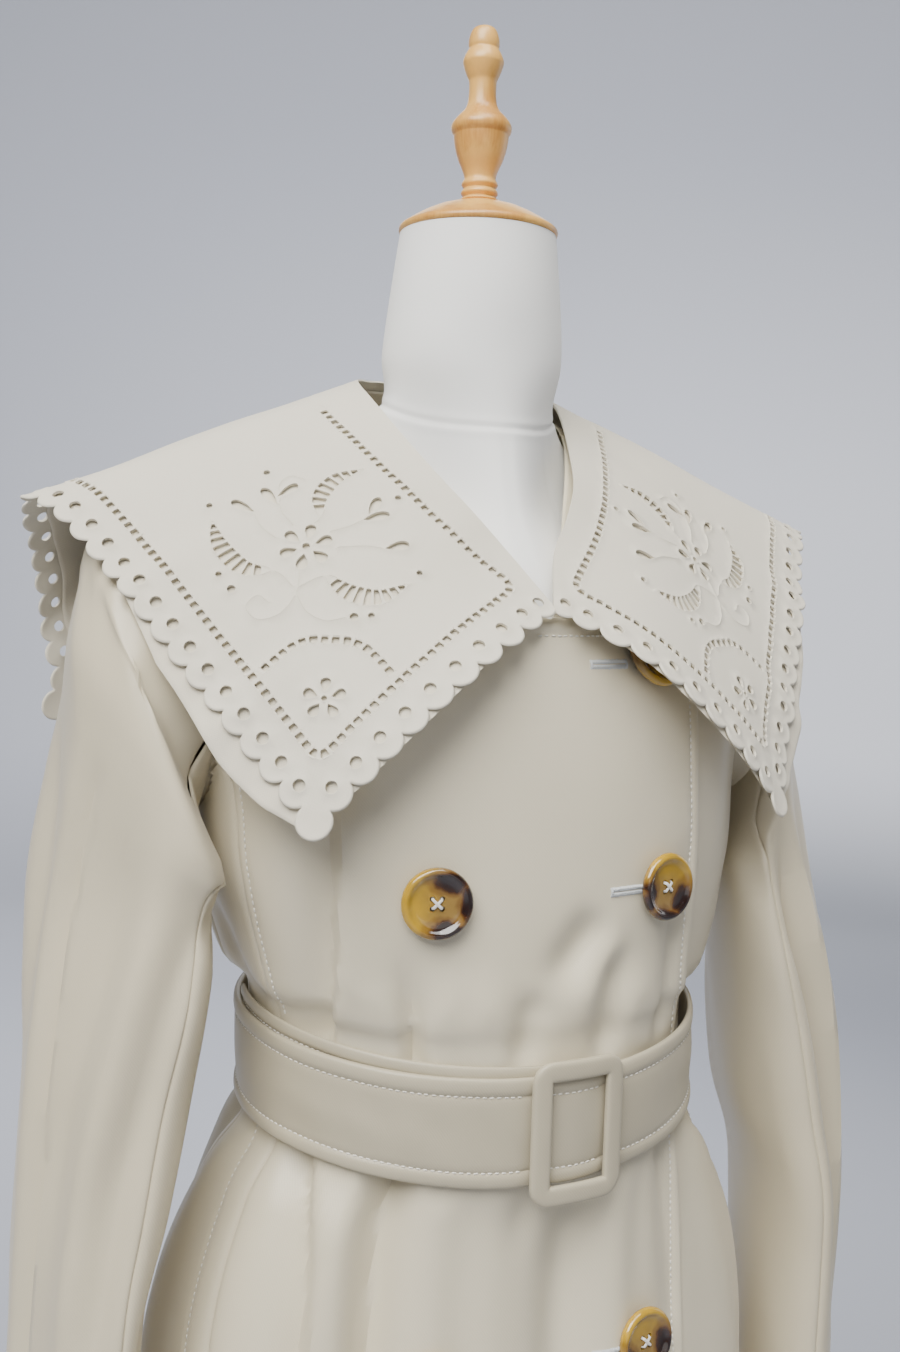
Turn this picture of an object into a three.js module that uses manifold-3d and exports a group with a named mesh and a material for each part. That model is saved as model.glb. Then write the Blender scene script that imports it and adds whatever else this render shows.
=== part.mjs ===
// Women's double-breasted trench coat with a wide cutwork collar, belted, on a limbless dress form with a
// turned wooden finial, a pole and a round base.
// Millimetres, +Z up. Origin: centre of the base's underside. The coat's front faces -Y; the wearer's right is -X.
import * as THREE from 'three';
import { mergeVertices } from 'three/addons/utils/BufferGeometryUtils.js';
import Module from 'manifold-3d';

const wasm = await Module();
wasm.setup();

// ---- driving dimensions -------------------------------------------------------------------------------------
const WAIST_Z = 1030;          // height of the belt's middle above the floor
const WALL = 1.5;              // coat cloth
const LAP_DROP = 2.0;          // how far the underlap lies below the overlap's face
const SEAM_GAP = 0.3;          // between neighbouring pieces
const FRONT_EDGE_X = 93;       // centre front to each front edge
const LAP_TOP_Z = 236;         // level top edge of the overlap, above the waist
const BELT_HEIGHT = 52.4, BELT_THICK = 2.8, BELT_CLEAR = 4.2;
const TAIL_THICK = 1.6, TAIL_CLEAR = 1.8;
const BUTTON_D = 34.7, BUTTON_T = 5.2, BUTTON_HOLE_R = 1.3, BUTTON_HOLE_PCR = 3.4;
const BUCKLE_W = 51, BUCKLE_H = 72, BUCKLE_BAR = 10, BUCKLE_T = 4.4, BUCKLE_CORNER = 10;
const ARMHOLE = { y: 8, z: 205, ry: 58, rz: 76 };
const NECK_R = 42.6, RIM_Z = 438.6, CAP_H = 17.6;
const FORM_BOTTOM_Z = -330;
const POLE_R = 14, BASE_R = 185, BASE_T = 24;

// ---- the coat's outer face ----------------------------------------------------------------------------------
// A ring: five points on the wearer's left half, from centre front to centre back. Heights are above the waist.
function oval(zf, zs, zb, a, bf, bb, y0, n) {
  const k = Math.pow(0.5, 1 / n);
  return { F: [0, y0 - bf, zf], FA: [k * a, y0 - k * bf, (zs + zf) / 2], S: [a, y0, zs], BA: [k * a, y0 + k * bb, (zs + zb) / 2], B: [0, y0 + bb, zb] };
}
// columns: height at front, side and back; half width, depth to the front, depth to the back, centre y, squareness
const COAT = [
  oval(-720, -720, -720, 224, 160, 166, -2, 2.1),       // hem
  oval(-480, -480, -480, 202, 143, 150, -3, 2.1),
  oval(-240, -240, -240, 179, 124, 134, -4, 2.15),      // hip
  oval(-132, -130, -128, 166, 113, 121, -5, 2.2),
  oval(-70, -62, -54, 142, 105, 106, -8, 2.2),
  oval(-43, -31, -21, 122.5, 104, 103, -11, 2.15),      // belt, lower edge
  oval(-13, -1, 9, 121, 104, 104, -12.4, 2.1),          // waist
  oval(26, 38, 48, 122, 103.5, 103.5, -11.5, 2.15),     // above the belt
  oval(44, 56, 66, 135, 108, 105, -8.5, 2.2),
  oval(100, 105, 108, 150, 109, 106, -5.5, 2.25),       // bust
  oval(150, 150, 150, 154, 107, 105, -4, 2.25),         // underarm
  { F: [0, -105, 198], FA: [122, -72, 204], S: [170, 2, 212], BA: [124, 74, 212], B: [0, 97, 208] },
  { F: [0, -101, 224], FA: [116, -48, 244], S: [188, 8, 283], BA: [122, 64, 264], B: [0, 90, 268] },   // shoulder point
  { F: [0, -100, 232], FA: [72, -50, 263], S: [125, 8, 312], BA: [86, 56, 310], B: [0, 78, 318] },
  { F: [0, -98, 235], FA: [26, -57.5, 278], S: [57, 8, 337], BA: [41, 45, 348], B: [0, 58, 350] },     // neckline
];
const FORM = [
  oval(FORM_BOTTOM_Z, FORM_BOTTOM_Z, FORM_BOTTOM_Z, 146, 96, 110, -2, 2.2),
  oval(-200, -200, -200, 156, 100, 116, -2, 2.2),
  oval(-100, -100, -100, 138, 90, 102, -4, 2.2),
  oval(-10, -10, -10, 104, 86, 80, -10, 2.1),
  oval(60, 60, 60, 114, 90, 86, -8, 2.1),
  oval(150, 150, 150, 136, 93, 92, -4, 2.2),
  { F: [0, -88, 205], FA: [102, -54, 206], S: [144, 4, 218], BA: [104, 60, 213], B: [0, 82, 212] },
  { F: [0, -77, 250], FA: [87, -31, 247], S: [148, 6, 262], BA: [96, 50, 257], B: [0, 74, 266] },
  { F: [0, -52, 290], FA: [46, -18, 288], S: [80, 8, 306], BA: [56, 42, 313], B: [0, 58, 314] },
  { F: [0, -40, 331], FA: [34, -18, 334], S: [50.5, 8, 343], BA: [37, 37, 349], B: [0, 51, 353] },     // neck base
  oval(366, 372, 376, 50, 46.5, 45, 8, 2.0),
  oval(402, 402, 402, 47.3, 45.5, 44.5, 6, 2.0),
  oval(RIM_Z, RIM_Z, RIM_Z, NECK_R, NECK_R, NECK_R, 4.5, 2.0),
];

// A ring's five points fix three sine terms for x and five cosine terms for y and z.
function solve(M, r) {
  const n = r.length, A = M.map((row, i) => [...row, r[i]]);
  for (let i = 0; i < n; i++) {
    let p = i; for (let k = i + 1; k < n; k++) if (Math.abs(A[k][i]) > Math.abs(A[p][i])) p = k;
    [A[i], A[p]] = [A[p], A[i]];
    for (let k = 0; k < n; k++) if (k !== i) { const f = A[k][i] / A[i][i]; for (let j = i; j <= n; j++) A[k][j] -= f * A[i][j]; }
  }
  return A.map((row, i) => row[n] / row[i]);
}
const RAD = Math.PI / 180;
function terms(ring) {
  const q = [45, 90, 135].map(d => d * RAD), h = [0, 45, 90, 135, 180].map(d => d * RAD);
  const p = [ring.F, ring.FA, ring.S, ring.BA, ring.B];
  const MS = q.map(t => [1, 2, 3].map(k => Math.sin(k * t))), MC = h.map(t => [0, 1, 2, 3, 4].map(k => Math.cos(k * t)));
  return [...solve(MS, [ring.FA[0], ring.S[0], ring.BA[0]]), ...solve(MC, p.map(a => a[1])), ...solve(MC, p.map(a => a[2]))];
}
function blendRows(T, v) {
  const n = T.length, c = Math.min(Math.max(v, 0), n - 1), i = Math.min(Math.floor(c), n - 2), f = c - i;
  const p1 = T[i], p2 = T[i + 1];
  const p0 = i > 0 ? T[i - 1] : p1.map((a, k) => 2 * a - p2[k]), p3 = i < n - 2 ? T[i + 2] : p2.map((a, k) => 2 * a - p1[k]);
  return p1.map((a, k) => 0.5 * (2 * a + (p2[k] - p0[k]) * f + (2 * p0[k] - 5 * a + 4 * p2[k] - p3[k]) * f * f + (3 * a - p0[k] - 3 * p2[k] + p3[k]) * f * f * f));
}
function surfaceOf(rings) {
  const T = rings.map(terms);
  return (deg, v) => {
    const c = blendRows(T, v), t = deg * RAD;
    let x = 0, y = 0, z = 0;
    for (let k = 0; k < 3; k++) x += c[k] * Math.sin((k + 1) * t);
    for (let k = 0; k < 5; k++) { y += c[3 + k] * Math.cos(k * t); z += c[8 + k] * Math.cos(k * t); }
    return new THREE.Vector3(x, y, z);
  };
}
const coatSmooth = surfaceOf(COAT), formFace = surfaceOf(FORM);

// Soft folds on the coat: angle, half width in degrees, depth (out is positive), ring where each starts, peaks and ends.
const FOLDS = [
  { at: -47, half: 9, depth: 2.5, from: 4.6, peak: 2.5, to: -0.1 },
  { at: -33, half: 9, depth: -3.0, from: 4.6, peak: 3.4, to: -0.1 },
  { at: 52, half: 10, depth: 3.5, from: 4.6, peak: 2.0, to: -0.1 },
  { at: -100, half: 16, depth: 4.0, from: 4.6, peak: 1.5, to: -0.1 },
  { at: 104, half: 16, depth: 4.0, from: 4.6, peak: 1.5, to: -0.1 },
  { at: 140, half: 14, depth: -4.0, from: 4.6, peak: 1.5, to: -0.1 },
  { at: -138, half: 15, depth: -4.0, from: 4.6, peak: 1.5, to: -0.1 },
];
const smooth = t => { const c = Math.min(Math.max(t, 0), 1); return c * c * (3 - 2 * c); };
function foldDepth(deg, v) {
  let d = 0;
  for (const f of FOLDS) {
    const u = Math.abs(deg - f.at) / f.half;
    if (u >= 1) continue;
    d += f.depth * (0.5 + 0.5 * Math.cos(Math.PI * u)) * (v > f.peak ? smooth((f.from - v) / (f.from - f.peak)) : 1);
  }
  return d;
}
function normalOf(face, deg, v, top) {
  const e = 0.02, v0 = Math.max(v - e, 0), v1 = Math.min(v + e, top);
  const du = face(deg + 0.5, v).sub(face(deg - 0.5, v)), dv = face(deg, v1).sub(face(deg, v0));
  return du.cross(dv).normalize();
}
const TOP = COAT.length - 1;
function coatFace(deg, v) { return coatSmooth(deg, v).addScaledVector(normalOf(coatSmooth, deg, v, TOP), foldDepth(deg, v)); }
// A point of the coat's outer face, moved along its normal; out is positive.
function coatAt(deg, v, off) { return coatSmooth(deg, v).addScaledVector(normalOf(coatSmooth, deg, v, TOP), foldDepth(deg, v) + off); }

// ---- closed walls -------------------------------------------------------------------------------------------
// A closed wall between two grids of points, each given by row and column. ring joins the last column to the first.
function wall(rows, cols, outer, inner, ring = false) {
  const pos = [], idx = [], nc = ring ? cols : cols + 1;
  const at = (side, i, j) => side * (rows + 1) * nc + i * nc + (ring ? j % cols : j);
  for (const g of [outer, inner]) for (let i = 0; i <= rows; i++) for (let j = 0; j < nc; j++) { const p = g(i, j); pos.push(p.x, p.y, p.z); }
  const quad = (a, b, c, d) => idx.push(a, b, c, a, c, d);
  for (let i = 0; i < rows; i++) for (let j = 0; j < cols; j++) {
    quad(at(0, i, j), at(0, i, j + 1), at(0, i + 1, j + 1), at(0, i + 1, j));
    quad(at(1, i, j), at(1, i + 1, j), at(1, i + 1, j + 1), at(1, i, j + 1));
  }
  for (let j = 0; j < cols; j++) {
    quad(at(0, 0, j), at(1, 0, j), at(1, 0, j + 1), at(0, 0, j + 1));
    quad(at(0, rows, j), at(0, rows, j + 1), at(1, rows, j + 1), at(1, rows, j));
  }
  if (!ring) for (let i = 0; i < rows; i++) {
    quad(at(0, i, 0), at(0, i + 1, 0), at(1, i + 1, 0), at(1, i, 0));
    quad(at(0, i, cols), at(1, i, cols), at(1, i + 1, cols), at(0, i + 1, cols));
  }
  return finish(pos, idx);
}
// A closed body through rings of points, with a centre point at each end.
function rings(list) {
  const n = list[0].length, pos = [], idx = [];
  for (const r of list) for (const p of r) pos.push(p.x, p.y, p.z);
  for (let i = 0; i < list.length - 1; i++) for (let j = 0; j < n; j++) {
    const a = i * n + j, b = i * n + (j + 1) % n;
    idx.push(a, b, b + n, a, b + n, a + n);
  }
  for (const [i, flip] of [[0, true], [list.length - 1, false]]) {
    const c = list[i].reduce((s, p) => s.add(p), new THREE.Vector3()).multiplyScalar(1 / n), k = pos.length / 3;
    pos.push(c.x, c.y, c.z);
    for (let j = 0; j < n; j++) { const a = i * n + j, b = i * n + (j + 1) % n; flip ? idx.push(b, a, k) : idx.push(a, b, k); }
  }
  return finish(pos, idx);
}
function finish(pos, idx) {
  let vol = 0;
  for (let k = 0; k < idx.length; k += 3) {
    const [a, b, c] = [idx[k], idx[k + 1], idx[k + 2]].map(i => new THREE.Vector3(pos[3 * i], pos[3 * i + 1], pos[3 * i + 2]));
    vol += a.dot(b.cross(c));
  }
  if (vol < 0) for (let k = 0; k < idx.length; k += 3) [idx[k + 1], idx[k + 2]] = [idx[k + 2], idx[k + 1]];
  const g = new THREE.BufferGeometry();
  g.setAttribute('position', new THREE.Float32BufferAttribute(pos, 3));
  g.setIndex(idx);
  return g;
}
// ---- joins and cuts -----------------------------------------------------------------------------------------
function solid(g) {
  const s = g.clone(); s.deleteAttribute('normal'); s.deleteAttribute('uv');
  const m = mergeVertices(s, 1e-4);
  return new wasm.Manifold(new wasm.Mesh({ numProp: 3, vertProperties: new Float32Array(m.attributes.position.array), triVerts: new Uint32Array(m.index.array) }));
}
function geometry(man) {
  const m = man.getMesh(), g = new THREE.BufferGeometry();
  g.setAttribute('position', new THREE.Float32BufferAttribute(m.vertProperties, 3));
  g.setIndex(new THREE.Uint32BufferAttribute(m.triVerts, 1));
  return g;
}
const box = (x0, x1, y0, y1, z0, z1) => { const g = new THREE.BoxGeometry(x1 - x0, y1 - y0, z1 - z0); g.translate((x0 + x1) / 2, (y0 + y1) / 2, (z0 + z1) / 2); return solid(g); };
function armholeCut(side) {
  const s = new THREE.Shape(); s.absellipse(0, 0, ARMHOLE.ry + SEAM_GAP, ARMHOLE.rz + SEAM_GAP, 0, Math.PI * 2);
  const g = new THREE.ExtrudeGeometry(s, { depth: 200, bevelEnabled: false, curveSegments: 32 });
  g.rotateX(Math.PI / 2); g.rotateZ(Math.PI / 2);                       // the ellipse's height runs along Z, the cut along X
  g.translate(side > 0 ? 100 : -300, ARMHOLE.y, ARMHOLE.z);
  return solid(g);
}
const CUT = { L: armholeCut(1), R: armholeCut(-1) };

// ---- the coat's panels --------------------------------------------------------------------------------------
// Rings at which every body panel has a row of points.
const ROWS = [0, 1, 2, 2.6, 3.2, 3.8, 4.4, 5, 6, 7, 8, 9, 9.6, 10.2, 10.9, 11.6, 12.3, 13.1, 14];
// Princess seam, degrees from centre front at each ring
const PRINCESS = [56, 58, 62, 66, 70, 73, 75, 73, 69, 67, 68, 76, 76, 76, 76];
const SIDE_SEAM = 95;
const lerpTable = (T, v) => { const i = Math.min(Math.floor(v), T.length - 2); return T[i] + (T[i + 1] - T[i]) * (v - i); };
const degOfX = (x, v) => { let a = 0, b = 88; for (let k = 0; k < 40; k++) { const m = (a + b) / 2; coatSmooth(m, v).x < x ? a = m : b = m; } return (a + b) / 2; };
// Where the front edges lie: a fixed distance from centre front, and above the bust the angle they have there.
const edgeDeg = v => degOfX(FRONT_EDGE_X, Math.min(v, 11));
// Outer boundary of a front panel and of the back, which run to the shoulder seam inside the armhole.
const frontSideDeg = v => v <= 11 ? lerpTable(PRINCESS, v) : Math.min(90, lerpTable(PRINCESS, v) + (90 - 76) * Math.min(1, v - 11));
const backSideDeg = v => v <= 10.2 ? SIDE_SEAM : 90 + (SIDE_SEAM - 90) * Math.max(0, 1 - (v - 10.2) / 1.4);
const gapDeg = (v, mm) => mm / 2 / (coatSmooth(90, v).x) / RAD;

function frontPanel(side) {                       // side -1: the wearer's right, on top; +1: the wearer's left, under it
  const outer = 3, lap = 9, cols = outer + lap;
  const deg = (v, j) => {                         // column angles from the princess seam to the far edge
    const p = frontSideDeg(v) - gapDeg(v, SEAM_GAP), e = edgeDeg(v), k = side < 0 ? j : cols - j;
    return side * (k <= outer ? p + (e - p) * k / outer : e - 2 * e * (k - outer) / lap);
  };
  const drop = (d, v) => side < 0 ? 0 : -LAP_DROP * smooth((edgeDeg(v) + 14 - d) / 10);
  const g = wall(ROWS.length - 1, cols,
    (i, j) => { const v = ROWS[i], d = deg(v, j); return coatAt(d, v, drop(d, v)); },
    (i, j) => { const v = ROWS[i], d = deg(v, j); return coatAt(d, v, drop(d, v) - WALL); });
  let m = solid(g).subtract(side < 0 ? CUT.R : CUT.L);
  m = m.subtract(side < 0 ? box(0, 140, -160, 60, LAP_TOP_Z, 420) : box(-140, 0, -160, 60, LAP_TOP_Z, 420));
  return geometry(m);
}
function sideFront(side) {
  const rows = ROWS.filter(v => v <= 10.9).concat([11.1]), cols = 4;
  const deg = (v, j) => { const a = lerpTable(PRINCESS, v) + gapDeg(v, SEAM_GAP), b = SIDE_SEAM - gapDeg(v, SEAM_GAP); return side * (a + (b - a) * j / cols); };
  const g = wall(rows.length - 1, cols, (i, j) => coatAt(deg(rows[i], j), rows[i], 0), (i, j) => coatAt(deg(rows[i], j), rows[i], -WALL));
  return geometry(solid(g).subtract(side < 0 ? CUT.R : CUT.L));
}
function backPanel(side) {
  const cols = 8;
  const deg = (v, j) => { const a = backSideDeg(v) + gapDeg(v, SEAM_GAP), b = 180 - gapDeg(v, SEAM_GAP); return side * (a + (b - a) * j / cols); };
  const g = wall(ROWS.length - 1, cols, (i, j) => coatAt(deg(ROWS[i], j), ROWS[i], 0), (i, j) => coatAt(deg(ROWS[i], j), ROWS[i], -WALL));
  return geometry(solid(g).subtract(side < 0 ? CUT.R : CUT.L));
}

// ---- sleeves ------------------------------------------------------------------------------------------------
// columns: the section's bottom (inner) and top (outer) points x,z, half width, centre y, turn, and how much of the
// half width its back half has, and how far its front half leans down; the wearer's left sleeve hangs a little flatter and further back at the top
const SLEEVE = [
  { xi: 159.5, zi: 129, xo: 205, zo: 266, half: 60, y: 6, turn: 0, back: 1, lean: 0.35, left: { xo: 199, half: 58, y: 8, lean: 0.2 } },
  { xi: 159.5, zi: 126, xo: 210, zo: 246, half: 68, y: -1, turn: 2, back: 0.97, lean: 0.5, left: { xo: 199, half: 62, y: 6, lean: 0.3 } },
  { xi: 159, zi: 123, xo: 216, zo: 217, half: 74, y: -7, turn: 8, back: 0.95, lean: 0.5, left: { xo: 199, half: 65, y: 4, lean: 0.3 } },
  { xi: 160, zi: 118, xo: 216, zo: 186, half: 77, y: -11, turn: 16, back: 0.93, lean: 0.35, left: { xo: 201, half: 67, y: 1, lean: 0.2 } },
  { xi: 160, zi: 110, xo: 216, zo: 150, half: 75, y: -13, turn: 24, back: 0.93, lean: 0.12, left: { xo: 208, half: 69, y: -4, lean: 0.08 } },
  { xi: 158.5, zi: 92, xo: 219.5, zo: 98, half: 70.5, y: -12, turn: 26, back: 0.94, lean: 0, left: { xo: 216.5, half: 68.5, y: -8, lean: 0 } },
  { xi: 162, zi: 48, xo: 226, zo: 48, half: 66.5, y: -16, turn: 25, back: 0.97, lean: 0, left: { xo: 225, half: 66.5, y: -14, lean: 0 } },
  { xi: 166, zi: 0, xo: 232, zo: 0, half: 60, y: -18, turn: 21, back: 1, lean: 0 },
  { xi: 174, zi: -52, xo: 236, zo: -52, half: 58.5, y: -19, turn: 17, back: 1, lean: 0 },
  { xi: 187, zi: -105, xo: 238, zo: -105, half: 60, y: -21, turn: 15, back: 1, lean: 0 },
  { xi: 190, zi: -200, xo: 240, zo: -200, half: 58, y: -22, turn: 15, back: 1, lean: 0 },
  { xi: 191, zi: -300, xo: 241, zo: -300, half: 56, y: -22, turn: 15, back: 1, lean: 0 },
];
const ARM_ROWS = SLEEVE.length + 2;               // two rings in the armhole come first, then one for each row
// The coat's half width at a place on its side, found by stepping angle and ring until depth and height agree.
function coatX(y, z) {
  let d = 90, v = 11;
  for (let k = 0; k < 30; k++) {
    const p = coatSmooth(d, v), pd = coatSmooth(d + 0.5, v).sub(p).multiplyScalar(2), pv = coatSmooth(d, v + 0.01).sub(p).multiplyScalar(100);
    const ey = y - p.y, ez = z - p.z, det = pd.y * pv.z - pd.z * pv.y;
    d += 0.8 * (ey * pv.z - ez * pv.y) / det; v += 0.8 * (pd.y * ez - pd.z * ey) / det;
  }
  return coatSmooth(d, v).x;
}
function sleevePoint(side, i, deg) {              // deg 0 is outward or up, 90 is the back, -90 the front
  const c = Math.cos(deg * RAD), s = Math.sin(deg * RAD);
  if (i < 2) {
    const z = ARMHOLE.z + (ARMHOLE.rz - 0.9) * c, y = ARMHOLE.y + (ARMHOLE.ry - 0.9) * s;
    return new THREE.Vector3(side * (coatX(y, z) + (i === 0 ? -5 : 3)), y, z);
  }
  const r = side > 0 ? { ...SLEEVE[i - 2], ...SLEEVE[i - 2].left } : SLEEVE[i - 2], cx = (r.xi + r.xo) / 2, cz = (r.zi + r.zo) / 2, h = Math.hypot(r.xo - r.xi, r.zo - r.zi) / 2;
  const t = r.turn * RAD, w = r.half * (s > 0 ? r.back : 1) * s, u = h * c + r.lean * Math.min(w, 0);
  const uu = u * Math.cos(t) + w * Math.sin(t), ww = -u * Math.sin(t) + w * Math.cos(t);
  const dx = (r.xo - r.xi) / (2 * h), dz = (r.zo - r.zi) / (2 * h);
  return new THREE.Vector3(side * (cx + uu * dx), r.y + ww, cz + uu * dz);
}
function sleeveAt(side, i, deg, off) {            // moved along the sleeve's normal
  const a = sleevePoint(side, i, deg), du = sleevePoint(side, i, deg + 2).sub(sleevePoint(side, i, deg - 2));
  const dv = sleevePoint(side, Math.min(i + 1, ARM_ROWS - 1), deg).sub(sleevePoint(side, Math.max(i - 1, 0), deg));
  const n = i < 2 ? new THREE.Vector3(0, Math.sin(deg * RAD) / ARMHOLE.ry, Math.cos(deg * RAD) / ARMHOLE.rz).normalize() : du.cross(dv).multiplyScalar(-side).normalize();
  return a.addScaledVector(n, off);
}
const SLEEVE_SEAM = { front: -86, back: 105 };    // degrees of the two sleeve seams
function sleevePiece(side, part) {
  const [a, b] = part === 'upper' ? [SLEEVE_SEAM.front, SLEEVE_SEAM.back] : [SLEEVE_SEAM.back, SLEEVE_SEAM.front + 360];
  const cols = part === 'upper' ? 10 : 8, gap = SEAM_GAP / 2 / 36 / RAD;
  const deg = j => a + gap + (b - a - 2 * gap) * j / cols;
  return wall(ARM_ROWS - 1, cols, (i, j) => sleeveAt(side, i, deg(j), 0), (i, j) => sleeveAt(side, i, deg(j), -WALL));
}

// ---- collar -------------------------------------------------------------------------------------------------
// Stations from centre front to centre back on the wearer's left half: neck edge, two points across, outer edge.
const COLLAR = [
  { neck: [0.6, -100, 243], m1: [46, -127, 211], m2: [89, -131, 173], edge: [125, -123, 136] },      // front end, to the tip
  { neck: [13.5, -74, 268], m1: [62, -93, 240], m2: [107, -100, 204], edge: [151, -95, 166] },
  { neck: [27, -61, 287], m1: [77, -64, 271], m2: [126, -64, 242], edge: [174, -66, 207] },
  { neck: [41, -40, 309], m1: [96, -28, 301], m2: [150, -27, 277], edge: [203, -31, 248] },
  { neck: [56, 8, 346], m1: [115, 11, 329], m2: [177, 13, 306], edge: [239, 16, 284] },              // shoulder
  { neck: [57, 34, 360], m1: [118, 43, 336], m2: [181, 46, 307], edge: [237, 44, 273] },
  { neck: [44, 52, 363], m1: [108, 72, 326], m2: [172, 82, 288], edge: [228, 68, 240] },
  { neck: [30, 59, 364], m1: [92, 86, 319], m2: [158, 96, 261], edge: [209, 84, 175] },          // back corner
  { neck: [15, 62, 364], m1: [52, 92, 324], m2: [88, 107, 258], edge: [110, 105, 170] },
  { neck: [0, 64, 364], m1: [0, 96, 322], m2: [0, 109, 256], edge: [0, 107, 168] },                  // centre back
];
const COLLAR_T = COLLAR.map(r => [...r.neck, ...r.m1, ...r.m2, ...r.edge]);
function collarPoint(side, s, t) {                // s 0 to 9 along, t 0 to 1 across
  const r = blendRows(COLLAR_T, s), across = blendRows([r.slice(0, 3), r.slice(3, 6), r.slice(6, 9), r.slice(9, 12)], t * 3);
  return new THREE.Vector3(side * across[0], across[1], across[2]);
}
function collarAt(side, s, t, off) {
  const e = 0.03, s0 = Math.max(s - e, 0), s1 = Math.min(s + e, 9), t0 = Math.max(t - e, 0), t1 = Math.min(t + e, 1);
  const n = collarPoint(side, s, t1).sub(collarPoint(side, s, t0)).cross(collarPoint(side, s1, t).sub(collarPoint(side, s0, t))).multiplyScalar(side).normalize();
  if (s > 8.99) { n.x = 0; n.normalize(); }
  return collarPoint(side, s, t).addScaledVector(n, off);
}
function collarHalf(side, layer) {
  const S = [0, 1, 2, 3, 3.6, 4.2, 4.8, 5.4, 6, 6.5, 7, 7.7, 8.4, 9];
  const [off, thick, t0, t1, s0] = layer === 'top' ? [0, 1.2, 0, 1, 0] : [-2.1, 1.2, 0.03, 0.985, 0.12];
  const T = [t0, 0.2, 0.4, 0.6, 0.8, t1], S2 = S.map(s => Math.max(s, s0));
  const clearX = p => { if (side * p.x < SEAM_GAP / 2) p.x = side * SEAM_GAP / 2; return p; };
  return wall(S.length - 1, T.length - 1, (i, j) => clearX(collarAt(side, S2[i], T[j], off)), (i, j) => clearX(collarAt(side, S2[i], T[j], off - thick)));
}

// ---- belt and buckle ----------------------------------------------------------------------------------------
const BUCKLE_DEG = 5;
const beltV = h => 6 + (h < 0 ? h / 30 : h / 39);                    // ring parameter at a height above the belt's middle
function belt() {
  const rows = 2, cols = 44, deg = j => -180 + 360 * j / cols;
  const v = i => beltV(-BELT_HEIGHT / 2 + BELT_HEIGHT * i / rows);
  return wall(rows, cols, (i, j) => coatAt(deg(j), v(i), BELT_CLEAR + BELT_THICK), (i, j) => coatAt(deg(j), v(i), BELT_CLEAR), true);
}
function beltTail() {
  const rows = 2, cols = 13, a = -98, b = -98 + 13 * 360 / 44, deg = j => a + (b - a) * j / cols;
  const v = (i, j) => beltV(-16 + 50 * i / rows - 4 * j / cols);
  return wall(rows, cols, (i, j) => coatAt(deg(j), v(i, j), TAIL_CLEAR + TAIL_THICK), (i, j) => coatAt(deg(j), v(i, j), TAIL_CLEAR));
}
function buckle() {
  // centre line of the bar: a rounded rectangle, laid on the belt's face
  const hw = BUCKLE_W / 2 - BUCKLE_BAR / 2, hh = BUCKLE_H / 2 - BUCKLE_BAR / 2, r = BUCKLE_CORNER - BUCKLE_BAR / 2, path = [];
  for (const [cx, cy, a0] of [[hw - r, hh - r, 0], [-hw + r, hh - r, 90], [-hw + r, -hh + r, 180], [hw - r, -hh + r, 270]])
    for (let k = 0; k <= 2; k++) { const a = (a0 + 45 * k) * RAD; path.push([cx + r * Math.cos(a), cy + r * Math.sin(a), Math.cos(a), Math.sin(a)]); }
  const full = [];
  path.forEach((p, k) => {                        // extra points along the long runs
    full.push(p); const q = path[(k + 1) % path.length], d = Math.hypot(q[0] - p[0], q[1] - p[1]);
    if (d > 12) for (let m = 1; m < 4; m++) full.push([p[0] + (q[0] - p[0]) * m / 4, p[1] + (q[1] - p[1]) * m / 4, p[2] + (q[2] - p[2]) * m / 4, p[3] + (q[3] - p[3]) * m / 4]);
  });
  const sec = [[-1, -0.5], [-1, 0.1], [-0.6, 0.5], [0.6, 0.5], [1, 0.1], [1, -0.5]];
  const c = coatSmooth(BUCKLE_DEG, 6), n = normalOf(coatSmooth, BUCKLE_DEG, 6, TOP), up = new THREE.Vector3(0, 0, 1).addScaledVector(n, -n.z).normalize(), ax = up.clone().cross(n);
  const place = (u, w, h) => c.clone().addScaledVector(ax, u).addScaledVector(up, w).addScaledVector(n, h + BELT_CLEAR + BELT_THICK + 0.9 + BUCKLE_T / 2 - u * u / 300);
  const pos = [], idx = [], m = sec.length;
  for (const p of full) { const L = Math.hypot(p[2], p[3]); for (const s of sec) { const q = place(p[0] + s[0] * BUCKLE_BAR / 2 * p[2] / L, p[1] + s[0] * BUCKLE_BAR / 2 * p[3] / L, s[1] * BUCKLE_T); pos.push(q.x, q.y, q.z); } }
  for (let i = 0; i < full.length; i++) for (let j = 0; j < m; j++) {
    const i2 = (i + 1) % full.length, j2 = (j + 1) % m;
    idx.push(i * m + j, i2 * m + j, i2 * m + j2, i * m + j, i2 * m + j2, i * m + j2);
  }
  return finish(pos, idx);
}

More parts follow.
